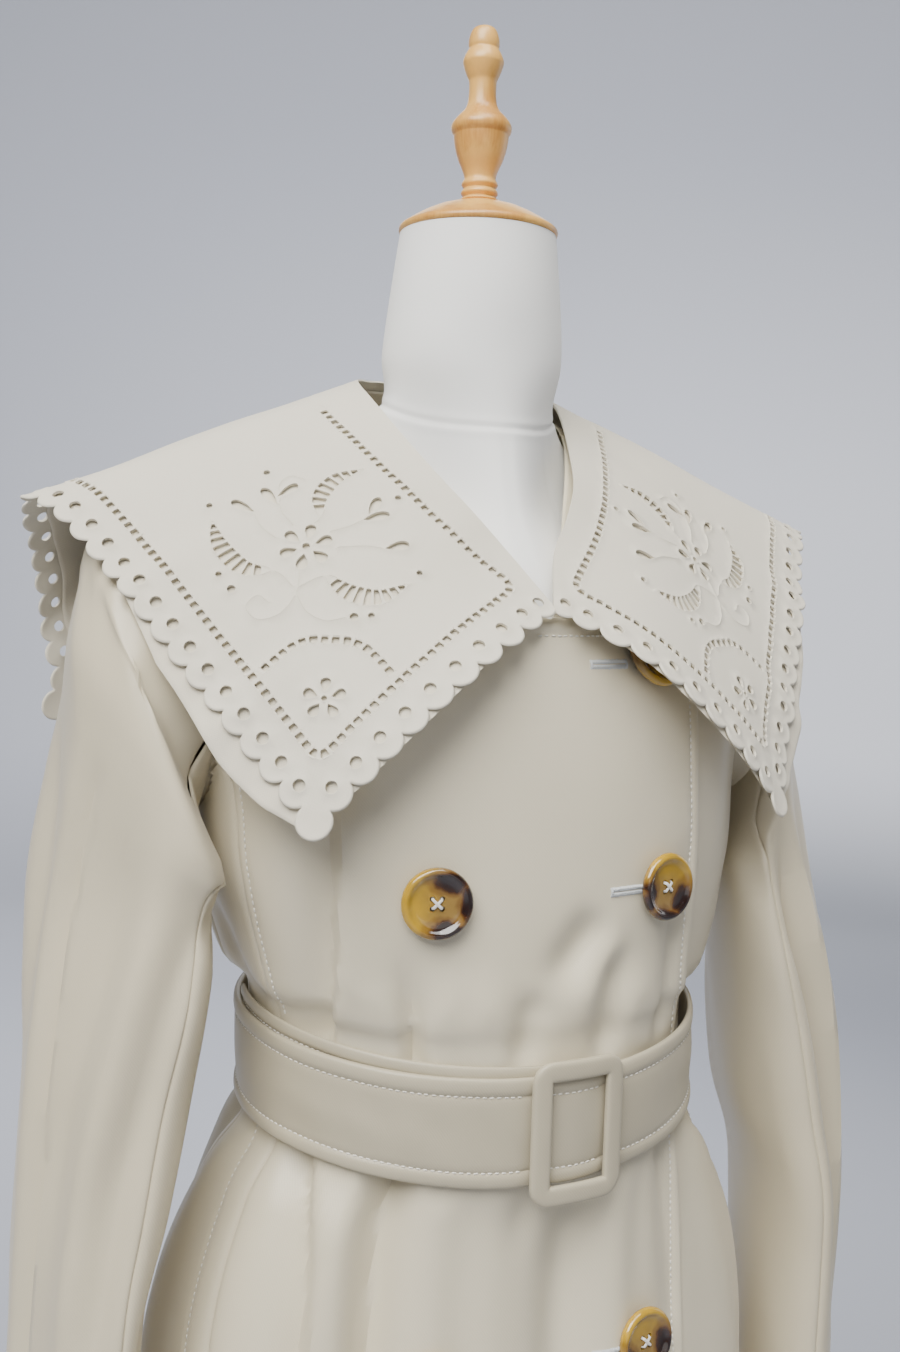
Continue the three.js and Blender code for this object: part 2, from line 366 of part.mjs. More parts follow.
// ---- buttons ------------------------------------------------------------------------------------------------
// columns: name, distance from centre front (the wearer's left is positive), height above the waist
const BUTTONS = [
  { name: 'button_top_left', x: 61, z: 215 },
  { name: 'button_mid_right', x: -60, z: 101 }, { name: 'button_mid_left', x: 64, z: 101 },
  { name: 'button_low_right', x: -58, z: -135 }, { name: 'button_low_left', x: 59, z: -135 },
];
function faceAt(x, z) {                           // angle and ring of the coat's face at that place on the front
  let v = 7; let deg = 0;
  for (let k = 0; k < 60; k++) { deg = Math.sign(x) * degOfX(Math.abs(x), v); const e = z - coatSmooth(deg, v).z; v = Math.min(Math.max(v + e / 45, 1), 13); }
  return [deg, v];
}
function button(b) {
  const r = BUTTON_D / 2, t = BUTTON_T, profile = [[0, 0], [r * 0.86, 0], [r, t * 0.42], [r * 0.97, t * 0.86], [r * 0.86, t], [r * 0.66, t * 0.62], [0, t * 0.5]];
  const g = new THREE.LatheGeometry(profile.map(p => new THREE.Vector2(p[0], p[1])), 14);
  g.rotateX(Math.PI / 2);                         // its axis along +Z
  let m = solid(g);
  for (const [u, w] of [[1, 1], [1, -1], [-1, 1], [-1, -1]]) {
    const h = new THREE.CylinderGeometry(BUTTON_HOLE_R, BUTTON_HOLE_R, 3 * t, 6); h.rotateX(Math.PI / 2);
    h.translate(u * BUTTON_HOLE_PCR / Math.SQRT2, w * BUTTON_HOLE_PCR / Math.SQRT2, t / 2);
    m = m.subtract(solid(h));
  }
  const geo = geometry(m), [deg, v] = faceAt(b.x, b.z), p = coatSmooth(deg, v), n = normalOf(coatSmooth, deg, v, TOP);
  const q = new THREE.Quaternion().setFromUnitVectors(new THREE.Vector3(0, 0, 1), n);
  return { geo, pos: p.addScaledVector(n, 2.4 + (b.z < 0 ? 0.6 : 0)), quat: q };
}

// ---- dress form ---------------------------------------------------------------------------------------------
function formBody() {
  const n = 24, list = [];
  for (const v of [0, 1, 2, 3, 4, 5, 6, 7, 7.5, 8, 8.5, 9, 9.5, 10, 11, 12]) { const r = []; for (let j = 0; j < n; j++) r.push(formFace(360 * j / n, v)); list.push(r); }
  return rings(list);
}
const turned = (profile, seg) => { const g = new THREE.LatheGeometry(profile.map(p => new THREE.Vector2(p.r, p.h)), seg); g.rotateX(Math.PI / 2); return g; };
const capProfile = [{ r: 0, h: 0 }, { r: NECK_R, h: 0 }, { r: 43.4, h: 1.6 }, { r: 42.4, h: 3.6 }, { r: 34, h: 9.2 }, { r: 22, h: 14.6 }, { r: 11, h: CAP_H }, { r: 0, h: CAP_H }];
// finial: radius at each height above the cap
const finialProfile = [{ r: 0, h: 0 }, { r: 10.4, h: 0 }, { r: 8.9, h: 1.95 }, { r: 9.9, h: 4.48 }, { r: 8.7, h: 6.82 }, { r: 9.8, h: 9.35 }, { r: 8.6, h: 12.66 },
  { r: 12, h: 21.43 }, { r: 14.3, h: 29.22 }, { r: 15, h: 35.06 }, { r: 16.3, h: 38.96 }, { r: 14.6, h: 43.34 }, { r: 9.4, h: 48.7 }, { r: 7.8, h: 52.6 }, { r: 7.6, h: 64.28 },
  { r: 11.1, h: 73.05 }, { r: 8.4, h: 80.84 }, { r: 7.8, h: 87.66 }, { r: 5.4, h: 91.56 }, { r: 0, h: 92.72 }];
const baseProfile = [{ r: 0, h: 0 }, { r: BASE_R - 4, h: 0 }, { r: BASE_R, h: 5 }, { r: BASE_R, h: 14 }, { r: BASE_R - 9, h: 19 }, { r: 44, h: BASE_T - 2 }, { r: 40, h: BASE_T }, { r: 0, h: BASE_T }];

// ---- the group ----------------------------------------------------------------------------------------------
const MATERIALS = {
  cloth: { color: 0xc9c3b5, roughness: 0.72, metalness: 0 },
  collar: { color: 0xcbc7bb, roughness: 0.85, metalness: 0 },
  under: { color: 0xc4bfb1, roughness: 0.85, metalness: 0 },
  horn: { color: 0xa9772f, roughness: 0.25, metalness: 0 },
  linen: { color: 0xdfdfdb, roughness: 0.9, metalness: 0 },
  wood: { color: 0xc99f61, roughness: 0.45, metalness: 0 },
};
const part = new THREE.Group();
const coat = new THREE.Group(), stand = new THREE.Group();
coat.position.z = WAIST_Z; stand.position.z = 0;
part.add(coat, stand);
function add(group, name, geo, kind) {
  const m = new THREE.Mesh(geo, new THREE.MeshStandardMaterial(MATERIALS[kind]));
  m.name = name; group.add(m); return m;
}
add(coat, 'front_right', frontPanel(-1), 'cloth');
add(coat, 'front_left', frontPanel(1), 'cloth');
for (const [side, s] of [[-1, 'right'], [1, 'left']]) {
  add(coat, `side_front_${s}`, sideFront(side), 'cloth');
  add(coat, `back_${s}`, backPanel(side), 'cloth');
  add(coat, `sleeve_upper_${s}`, sleevePiece(side, 'upper'), 'cloth');
  add(coat, `sleeve_under_${s}`, sleevePiece(side, 'under'), 'cloth');
  add(coat, `collar_top_${s}`, collarHalf(side, 'top'), 'collar');
  add(coat, `collar_under_${s}`, collarHalf(side, 'under'), 'under');
}
add(coat, 'belt', belt(), 'cloth');
add(coat, 'belt_tail', beltTail(), 'cloth');
add(coat, 'buckle', buckle(), 'cloth');
for (const b of BUTTONS) { const k = button(b), m = add(coat, b.name, k.geo, 'horn'); m.position.copy(k.pos); m.quaternion.copy(k.quat); }
add(coat, 'form_body', formBody(), 'linen');
const cap = add(coat, 'form_cap', turned(capProfile, 20), 'wood'); cap.position.set(0, 4.5, RIM_Z + SEAM_GAP);
const finial = add(coat, 'form_finial', turned(finialProfile, 14), 'wood'); finial.position.set(0, 4.5, RIM_Z + CAP_H + 2 * SEAM_GAP);
const poleBottom = BASE_T + SEAM_GAP, poleTop = WAIST_Z + FORM_BOTTOM_Z - SEAM_GAP;
const pole = add(stand, 'form_pole', new THREE.CylinderGeometry(POLE_R, POLE_R, poleTop - poleBottom, 20).rotateX(Math.PI / 2), 'wood');
pole.position.set(0, 0, (poleTop + poleBottom) / 2);
add(stand, 'form_base', turned(baseProfile, 28), 'wood');

export default part;
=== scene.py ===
import math
import bpy
import numpy as np
from mathutils import Vector, Matrix
from mathutils.geometry import delaunay_2d_cdt


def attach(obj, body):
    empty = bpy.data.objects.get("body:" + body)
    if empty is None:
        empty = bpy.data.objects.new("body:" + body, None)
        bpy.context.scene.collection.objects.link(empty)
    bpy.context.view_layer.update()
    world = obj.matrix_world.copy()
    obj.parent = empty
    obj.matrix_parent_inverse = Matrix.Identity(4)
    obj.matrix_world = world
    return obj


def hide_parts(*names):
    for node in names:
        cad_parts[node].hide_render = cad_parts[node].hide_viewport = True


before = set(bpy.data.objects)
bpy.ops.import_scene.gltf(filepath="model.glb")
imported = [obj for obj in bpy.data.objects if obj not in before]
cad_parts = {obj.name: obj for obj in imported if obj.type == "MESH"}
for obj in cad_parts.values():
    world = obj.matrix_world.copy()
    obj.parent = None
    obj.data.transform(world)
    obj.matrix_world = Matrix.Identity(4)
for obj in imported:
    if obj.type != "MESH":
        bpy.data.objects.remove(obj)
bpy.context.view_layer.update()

# Lengths below are millimetres, heights from the belt's middle, as the coat is cut; to_m() turns them into the row frame.
WAIST_Z = 1030.0
RAD = math.pi / 180


def to_m(P):
    return (np.asarray(P, float) + [0, 0, WAIST_Z]) / 1000.0


# =============================================================================================================
# The coat's outer face: rings of five points, a trigonometric series round each, Catmull-Rom between them
# =============================================================================================================
def oval(zf, zs, zb, a, bf, bb, y0, n):
    k = 0.5 ** (1 / n)
    return [(0, y0 - bf, zf), (k * a, y0 - k * bf, (zs + zf) / 2), (a, y0, zs), (k * a, y0 + k * bb, (zs + zb) / 2), (0, y0 + bb, zb)]


COAT = [
    oval(-720, -720, -720, 224, 160, 166, -2, 2.1), oval(-480, -480, -480, 202, 143, 150, -3, 2.1), oval(-240, -240, -240, 179, 124, 134, -4, 2.15),
    oval(-132, -130, -128, 166, 113, 121, -5, 2.2), oval(-70, -62, -54, 142, 105, 106, -8, 2.2), oval(-43, -31, -21, 122.5, 104, 103, -11, 2.15),
    oval(-13, -1, 9, 121, 104, 104, -12.4, 2.1), oval(26, 38, 48, 122, 103.5, 103.5, -11.5, 2.15), oval(44, 56, 66, 135, 108, 105, -8.5, 2.2),
    oval(100, 105, 108, 150, 109, 106, -5.5, 2.25), oval(150, 150, 150, 154, 107, 105, -4, 2.25),
    [(0, -105, 198), (122, -72, 204), (170, 2, 212), (124, 74, 212), (0, 97, 208)],
    [(0, -101, 224), (116, -48, 244), (188, 8, 283), (122, 64, 264), (0, 90, 268)],
    [(0, -100, 232), (72, -50, 263), (125, 8, 312), (86, 56, 310), (0, 78, 318)],
    [(0, -98, 235), (26, -57.5, 278), (57, 8, 337), (41, 45, 348), (0, 58, 350)],
]
NECK_R, RIM_Z, CAP_H = 42.6, 438.6, 17.6
FORM = [
    oval(-330, -330, -330, 146, 96, 110, -2, 2.2), oval(-200, -200, -200, 156, 100, 116, -2, 2.2), oval(-100, -100, -100, 138, 90, 102, -4, 2.2),
    oval(-10, -10, -10, 104, 86, 80, -10, 2.1), oval(60, 60, 60, 114, 90, 86, -8, 2.1), oval(150, 150, 150, 136, 93, 92, -4, 2.2),
    [(0, -88, 205), (102, -54, 206), (144, 4, 218), (104, 60, 213), (0, 82, 212)],
    [(0, -77, 250), (87, -31, 247), (148, 6, 262), (96, 50, 257), (0, 74, 266)],
    [(0, -52, 290), (46, -18, 288), (80, 8, 306), (56, 42, 313), (0, 58, 314)],
    [(0, -40, 331), (34, -18, 334), (50.5, 8, 343), (37, 37, 349), (0, 51, 353)],
    oval(366, 372, 376, 50, 46.5, 45, 8, 2.0), oval(402, 402, 402, 47.3, 45.5, 44.5, 6, 2.0), oval(RIM_Z, RIM_Z, RIM_Z, NECK_R, NECK_R, NECK_R, 4.5, 2.0),
]


def terms(ring):
    F, FA, S, BA, B = ring
    q, h = np.radians([45, 90, 135]), np.radians([0, 45, 90, 135, 180])
    MS = np.stack([np.sin(k * q) for k in (1, 2, 3)], 1)
    MC = np.stack([np.cos(k * h) for k in range(5)], 1)
    return np.concatenate([np.linalg.solve(MS, [FA[0], S[0], BA[0]]), np.linalg.solve(MC, [p[1] for p in ring]), np.linalg.solve(MC, [p[2] for p in ring])])


def mix_rows(T, v):
    v = np.clip(np.asarray(v, float), 0, len(T) - 1)
    i = np.minimum(v.astype(int), len(T) - 2)
    f = (v - i).reshape(v.shape + (1,) * (T.ndim - 1))
    g = lambda k: T[np.clip(k, 0, len(T) - 1)]
    p0, p1, p2, p3 = g(i - 1), g(i), g(i + 1), g(i + 2)
    m0, m3 = (i == 0).reshape(f.shape), (i == len(T) - 2).reshape(f.shape)
    p0, p3 = np.where(m0, 2 * p1 - p2, p0), np.where(m3, 2 * p2 - p1, p3)
    return 0.5 * (2 * p1 + (p2 - p0) * f + (2 * p0 - 5 * p1 + 4 * p2 - p3) * f ** 2 + (3 * p1 - p0 - 3 * p2 + p3) * f ** 3)


COAT_T, FORM_T = np.array([terms(r) for r in COAT]), np.array([terms(r) for r in FORM])
TOP = len(COAT) - 1


def series(T, deg, v):
    deg, v = np.broadcast_arrays(np.asarray(deg, float), np.asarray(v, float))
    c, t = mix_rows(T, v), np.radians(deg)
    x = sum(c[..., k] * np.sin((k + 1) * t) for k in range(3))
    y = sum(c[..., 3 + k] * np.cos(k * t) for k in range(5))
    z = sum(c[..., 8 + k] * np.cos(k * t) for k in range(5))
    return np.stack([x, y, z], -1)


def unit(a):
    return a / (np.linalg.norm(a, axis=-1, keepdims=True) + 1e-12)


def normals_of(T, deg, v):
    e = 0.03
    v0, v1 = np.maximum(np.asarray(v, float) - e, 0), np.minimum(np.asarray(v, float) + e, len(T) - 1)
    du = series(T, deg + 0.5, v) - series(T, deg - 0.5, v)
    dv = series(T, deg, v1) - series(T, deg, v0)
    return unit(np.cross(du, dv))


def smooth(t):
    c = np.clip(t, 0, 1)
    return c * c * (3 - 2 * c)


# The solids' own soft folds: angle, half width, depth, ring where each starts, peaks
SOFT_FOLDS = [(-47, 9, 2.5, 4.6, 2.5), (-33, 9, -3.0, 4.6, 3.4), (52, 10, 3.5, 4.6, 2.0), (-100, 16, 4.0, 4.6, 1.5), (104, 16, 4.0, 4.6, 1.5), (140, 14, -4.0, 4.6, 1.5), (-138, 15, -4.0, 4.6, 1.5)]


def soft_folds(deg, v):
    d = 0
    for at, half, depth, start, peak in SOFT_FOLDS:
        u = np.clip(np.abs(deg - at) / half, 0, 1)
        d = d + depth * (0.5 + 0.5 * np.cos(np.pi * u)) * np.where(v > peak, smooth((start - v) / (start - peak)), 1)
    return d


# ---- where things are on the front and round the body ---------------------------------------------------------
_gd, _gv = np.meshgrid(np.linspace(0, 90, 91), np.linspace(0, 13, 521), indexing="ij")
_gp = series(COAT_T, _gd, _gv)


def front_place(x, z):
    """Angle and ring of the coat's face at a distance from centre front and a height."""
    k = np.argmin((_gp[..., 0] - abs(x)) ** 2 + (_gp[..., 2] - z) ** 2)
    d, v = _gd.flat[k], _gv.flat[k]
    for _ in range(8):
        p = series(COAT_T, d, v)
        pd, pv = (series(COAT_T, d + 0.5, v) - p) * 2, (series(COAT_T, d, v + 0.01) - p) * 100
        ex, ez = abs(x) - p[0], z - p[2]
        det = pd[0] * pv[2] - pd[2] * pv[0]
        if abs(det) < 1e-6:
            break
        d, v = d + 0.7 * (ex * pv[2] - ez * pv[0]) / det, v + 0.7 * (pd[0] * ez - pd[2] * ex) / det
        d, v = min(max(d, -2), 89), min(max(v, 0), 13.5)
    return math.copysign(d, x), v


def ring_at(deg, z):
    """Ring parameter at an angle and a height."""
    vs = np.linspace(0, TOP, 561)
    return float(np.interp(z, series(COAT_T, np.full(561, float(deg)), vs)[:, 2], vs))


# =============================================================================================================
# Creases: soft troughs and ridges laid along lines on the cloth
# =============================================================================================================
def distances(P, Q):
    """Nearest point of polyline Q to each of P: distance, share along, side (signed offset vector)."""
    best = np.full(len(P), 1e9)
    share, vec = np.zeros(len(P)), np.zeros((len(P), 3))
    tan = np.zeros((len(P), 3))
    L = np.concatenate([[0], np.cumsum(np.linalg.norm(np.diff(Q, axis=0), axis=1))])
    for a, b, l0, l1 in zip(Q[:-1], Q[1:], L[:-1], L[1:]):
        ab = b - a
        t = np.clip((P - a) @ ab / (ab @ ab + 1e-9), 0, 1)
        w = P - (a + t[:, None] * ab)
        d = np.linalg.norm(w, axis=1)
        m = d < best
        best[m], share[m], vec[m], tan[m] = d[m], ((l0 + (l1 - l0) * t) / L[-1])[m], w[m], ab / np.linalg.norm(ab)
    return best, share, vec, tan


def catmull(pts, per=6):
    P = np.asarray(pts, float)
    if len(P) == 2:
        return P[0] + (P[1] - P[0]) * np.linspace(0, 1, per + 1)[:, None]
    return mix_rows(P, np.linspace(0, len(P) - 1, per * (len(P) - 1) + 1))


def crease_field(P, N, creases):
    """Sum of the creases at points P with normals N. Each: line (3-D points), depth, width on the left and on the right of the line, and the shares at each end over which it fades."""
    out = np.zeros(len(P))
    for Q, depth, wl, wr, fa, fb in creases:
        reach = 2.6 * max(wl, wr)
        lo, hi = Q.min(0) - reach, Q.max(0) + reach
        sel = np.where(((P > lo) & (P < hi)).all(1))[0]
        if not len(sel):
            continue
        d, s, w, t = distances(P[sel], Q)
        side = np.einsum("ij,ij->i", np.cross(t, w), N[sel])
        width = np.where(side > 0, wl, wr)
        fade = smooth(s / fa if fa > 0 else 1.0 + 0 * s) * smooth((1 - s) / fb if fb > 0 else 1.0 + 0 * s)
        out[sel] += depth * fade * np.exp(-(d / width) ** 2)
    return out


def on_front(pts):
    return catmull([series(COAT_T, *front_place(x, z)) for x, z in pts])


def on_body(pts):
    return catmull([series(COAT_T, d, ring_at(d, z)) for d, z in pts])


# columns: line as (x, height) on the front, depth (out is +), width to its left and right looking along it, fade at start and end
FRONT_CREASES = [
    ([(-102, 158), (-102, 100), (-100, 60), (-96, 27)], 3.2, 20, 3.2, 0.2, 0.0),          # edge of the bust pleat
    ([(-106.4, 158), (-106.8, 100), (-105.2, 60), (-101.4, 27)], -5.2, 3.8, 15, 0.2, 0.0),
    ([(-103, -22), (-104.5, -43), (-108, -78), (-112, -119), (-119, -200), (-129, -330)], 3.6, 22, 3.4, 0.0, 0.5),       # edge of the skirt's pleat
    ([(-107.8, -22), (-109.2, -43), (-112.8, -78), (-117, -119), (-124, -200), (-134, -330)], -6.2, 4.2, 14, 0.0, 0.5),
    ([(-66, 20), (-68, 34), (-71, 52), (-76, 84)], -5.0, 4.5, 6.5, 0.0, 0.8),             # pinch above the belt
    ([(-79, 24), (-81, 40), (-86, 66)], 2.4, 7, 9, 0.0, 0.7),
    ([(-57, 22), (-55, 40), (-50, 72)], 2.2, 9, 7, 0.0, 0.7),
    ([(-73, -22), (-76, -40), (-83, -70), (-87, -118), (-92, -190), (-99, -310)], -7.5, 11, 9, 0.0, 0.5),   # trough below the belt
    ([(-72, -20), (-76, -42), (-83, -68)], -3.4, 6, 5, 0.0, 0.85),
    ([(-93, -24), (-96, -60), (-100, -118), (-106, -210)], 2.4, 8, 9, 0.0, 0.55),
    ([(-52, -28), (-55, -60), (-59, -110), (-63, -190), (-68, -300)], 3.2, 14, 15, 0.0, 0.55),
    ([(32, 92), (18, 77), (6, 63), (-2, 50)], -4.6, 9, 11, 0.35, 0.45),                   # hollow from under the button
    ([(40, 96), (29, 72), (20, 52), (16, 34)], 1.8, 9, 8, 0.4, 0.3),
    ([(40, 76), (38, 60), (36, 44), (35, 27)], -4.0, 6, 10, 0.45, 0.0),
    ([(-6, 58), (-11, 44), (-13, 27)], -3.0, 8, 9, 0.5, 0.0),
    ([(-30, 28), (-33, 48), (-37, 74)], 1.8, 12, 12, 0.0, 0.7),
    ([(56, 28), (54, 46), (50, 70)], 2.4, 8, 10, 0.0, 0.7),                              # ridge beside the buckle
    ([(75, 30), (78, 52), (80, 84), (84, 130)], -3.2, 8, 7, 0.0, 0.6),
    ([(36, -34), (22, -56), (14, -86), (10, -130), (8, -220), (6, -320)], -5.6, 13, 13, 0.0, 0.5),  # hollow under the buckle
    ([(4, -32), (-8, -54), (-14, -86)], -2.8, 8, 9, 0.0, 0.7),
    ([(50, -32), (46, -70), (42, -130), (40, -240)], 2.6, 12, 12, 0.0, 0.5),
    ([(-26, -32), (-28, -70), (-30, -140), (-30, -260)], 1.8, 14, 14, 0.0, 0.5),
    ([(76, -28), (80, -60), (84, -110), (86, -200)], -2.6, 7, 7, 0.0, 0.5),
    ([(66, -30), (66, -70), (68, -130)], 1.6, 7, 7, 0.0, 0.6),
]
# columns: line as (degrees from centre front, height); the wearer's right is negative
BODY_CREASES = [
    ([(64, -26), (70, -60), (74, -110), (76, -200), (76, -380)], -3.6, 8, 11, 0.0, 0.4),
    ([(56, -26), (60, -60), (63, -120), (64, -260)], 2.4, 9, 9, 0.0, 0.5),
    ([(84, -20), (88, -60), (90, -130), (91, -300)], 2.6, 12, 14, 0.0, 0.5),
    ([(102, -18), (106, -60), (109, -140), (110, -320)], -3.0, 12, 12, 0.0, 0.45),
    ([(126, -12), (129, -60), (131, -150), (131, -330)], 2.2, 14, 14, 0.0, 0.5),
    ([(154, -8), (156, -60), (157, -160), (158, -360)], -2.6, 15, 13, 0.0, 0.45),
    ([(171, -6), (172, -80), (172, -200)], 1.8, 14, 14, 0.0, 0.6),
    ([(-86, -20), (-90, -60), (-92, -140), (-93, -320)], 2.2, 13, 12, 0.0, 0.5),
    ([(-106, -16), (-110, -60), (-113, -150), (-114, -330)], -3.2, 12, 12, 0.0, 0.45),
    ([(-124, -12), (-127, -70), (-129, -170)], 2.0, 13, 14, 0.0, 0.6),
    ([(-147, -8), (-149, -60), (-151, -150), (-152, -380)], -2.8, 14, 14, 0.0, 0.4),
    ([(-166, -6), (-167, -80), (-168, -220)], 2.0, 15, 15, 0.0, 0.6),
    ([(70, 44), (73, 66), (77, 96), (80, 130)], -2.0, 9, 10, 0.0, 0.6),
    ([(60, 44), (60, 70), (62, 100)], 1.4, 9, 9, 0.0, 0.6),
    ([(96, 48), (99, 72), (103, 104)], -1.8, 10, 10, 0.0, 0.6),
    ([(112, 52), (116, 80), (122, 120)], 1.6, 11, 11, 0.0, 0.6),
    ([(134, 56), (138, 84), (146, 130), (150, 170)], -2.0, 12, 12, 0.0, 0.5),
    ([(160, 58), (162, 90), (163, 130)], 1.5, 12, 12, 0.0, 0.6),
    ([(-82, 46), (-84, 68), (-88, 98)], -1.6, 9, 9, 0.0, 0.6),
    ([(-98, 50), (-102, 76), (-108, 110)], 1.5, 10, 11, 0.0, 0.6),
    ([(-120, 54), (-124, 84), (-132, 132)], -2.0, 12, 11, 0.0, 0.5),
    ([(-144, 57), (-147, 90), (-150, 130)], 1.6, 12, 12, 0.0, 0.6),
    ([(-170, 58), (-170, 96), (-168, 150)], -1.5, 12, 12, 0.0, 0.5),
]
deepen = lambda d: d * (2.5 if d < 0 else 1.8)
_creases = [(on_front(l), d * 1.45, *rest) for l, d, *rest in FRONT_CREASES] + [(on_body(l), deepen(d), *rest) for l, d, *rest in BODY_CREASES]


def ripple(P, amp, seed, lengths=(34, 52, 83, 131)):
    """Slow unevenness of hung cloth, the same each time."""
    r = np.random.default_rng(seed)
    out = np.zeros(P.shape[:-1])
    for L in lengths:
        for _ in range(3):
            k = r.normal(size=3) * [1, 1, 0.55]
            k = k / np.linalg.norm(k) * 2 * np.pi / L
            out = out + np.sin(P @ k + r.uniform(0, 6.28)) * amp * (L / 131) ** 0.8 / 3
    return out


def coat_face(deg, v, off=0.0, creases=True):
    """Points and normals of the coat's face; off moves them out along the normal."""
    P, N = series(COAT_T, deg, v), normals_of(COAT_T, deg, v)
    d = soft_folds(deg, v) + off
    if creases:
        c = crease_field(P.reshape(-1, 3), N.reshape(-1, 3), _creases).reshape(P.shape[:-1])
        near = np.abs(P[..., 2] - 4) - 32                          # ridges stay low where the belt presses on them
        c = np.minimum(c, 1.3 + 9 * smooth((near + 6) / 75))
        near = smooth((np.abs(deg) - 12) / 22) * smooth((90 - np.abs(deg)) / 22)                     # the cloth rolls softly over the belt
        c = c + (1.5 * np.exp(-((np.asarray(v) - 7.45) / 0.4) ** 2) - 1.2 * np.exp(-((np.asarray(v) - 8.3) / 0.6) ** 2)) * near
        d = d + c + ripple(P, 0.5, 11)
    return P + N * np.asarray(d)[..., None], N


# =============================================================================================================
# Mesh helpers
# =============================================================================================================
def mesh_object(name, verts, faces, mat, uv=None, smooth_angle=50):
    """An object from points (mm) and faces (one array of quads or triangles, or a list of such arrays)."""
    me = bpy.data.meshes.new(name)
    groups = faces if isinstance(faces, list) else [faces]
    groups = [np.asarray(f, np.int64) for f in groups if len(f)]
    V = to_m(verts)
    sizes = np.concatenate([np.full(len(f), f.shape[1]) for f in groups])
    loops = np.concatenate([f.ravel() for f in groups])
    me.vertices.add(len(V))
    me.vertices.foreach_set("co", V.astype(np.float32).ravel())
    me.loops.add(len(loops))
    me.loops.foreach_set("vertex_index", loops.astype(np.int32))
    me.polygons.add(len(sizes))
    me.polygons.foreach_set("loop_start", np.concatenate([[0], np.cumsum(sizes)[:-1]]).astype(np.int32))
    me.polygons.foreach_set("loop_total", sizes.astype(np.int32))
    me.polygons.foreach_set("use_smooth", np.ones(len(sizes), bool))
    if uv is not None:
        layer = me.uv_layers.new(name="UVMap")
        layer.data.foreach_set("uv", np.asarray(uv, float)[loops].astype(np.float32).ravel())
    me.update(calc_edges=True)
    me.validate(clean_customdata=False)
    if smooth_angle:
        me.set_sharp_from_angle(angle=smooth_angle * RAD)
    me.materials.append(mat)
    ob = bpy.data.objects.new(name, me)
    bpy.context.scene.collection.objects.link(ob)
    return ob


def grid_faces(r, c, ring=False):
    i, j = np.meshgrid(np.arange(r - 1), np.arange(c if ring else c - 1), indexing="ij")
    a = i * c + j
    b = i * c + (j + 1) % c
    return np.stack([a.ravel(), b.ravel(), (b + c).ravel(), (a + c).ravel()], 1)


def shell_arrays(outer, inner, faces):
    """A closed thin wall: outer face, inner face turned over, and a band along each open border."""
    faces = np.asarray(faces)
    used = np.unique(faces)
    remap = -np.ones(len(outer), int)
    remap[used] = np.arange(len(used))
    f = remap[faces]
    n = len(used)
    k = f.shape[1]
    e = np.concatenate([np.stack([f[:, q], f[:, (q + 1) % k]], 1) for q in range(k)])
    key = e[:, 0] * n + e[:, 1]
    rev = e[:, 1] * n + e[:, 0]
    border = e[~np.isin(rev, key)]
    band = np.stack([border[:, 1], border[:, 0], border[:, 0] + n, border[:, 1] + n], 1)
    V = np.concatenate([outer[used], inner[used]])
    return V, [f, f[:, ::-1] + n, band], used


def shell(name, outer, inner, faces, mat, uv=None, angle=50):
    V, F, used = shell_arrays(outer.reshape(-1, 3), inner.reshape(-1, 3), faces)
    U = None if uv is None else np.concatenate([uv.reshape(-1, 2)[used]] * 2)
    return mesh_object(name, V, F, mat, U, angle)


def arc_uv(P):
    """UV in metres along the columns and rows of a grid of points."""
    du = np.zeros(P.shape[:2])
    dv = np.zeros(P.shape[:2])
    du[:, 1:] = np.cumsum(np.linalg.norm(np.diff(P, axis=1), axis=2), axis=1)
    du -= du[:, du.shape[1] // 2][:, None]
    dv[1:] = np.cumsum(np.linalg.norm(np.diff(P, axis=0), axis=2), axis=0)
    dv[:] = dv[:, dv.shape[1] // 2][:, None]
    return np.stack([du, dv], -1) / 1000.0


def border_lengths(P):
    """Distance in mm from each border of a grid: left, right, bottom, top."""
    seg = np.linalg.norm(np.diff(P, axis=1), axis=2)
    left = np.concatenate([np.zeros((P.shape[0], 1)), np.cumsum(seg, axis=1)], 1)
    right = left[:, -1:] - left
    seg = np.linalg.norm(np.diff(P, axis=0), axis=2)
    bottom = np.concatenate([np.zeros((1, P.shape[1])), np.cumsum(seg, axis=0)], 0)
    return left, right, bottom, bottom[-1:] - bottom


def spaced(length, near_a, near_b, step):
    """Stations from 0 to length: close to each end at the given distances, then even."""
    a, b = [x for x in near_a if x < length / 2], [length - x for x in near_b if x < length / 2]
    a0, b0 = (a[-1] if a else 0), (b[-1] if b else length)
    n = max(1, int(round((b0 - a0) / step)))
    mid = list(np.linspace(a0, b0, n + 1))
    return np.array((a[:-1] if a else []) + mid + (b[:-1][::-1] if b else []))


def round_edge(e, r, t):
    """How far a face draws in towards the wall's middle at a distance e from a rounded border; t is the wall."""
    u = np.clip(1 - e / r, 0, 1)
    return t / 2 * (1 - np.sqrt(np.clip(1 - u * u, 0, 1)))


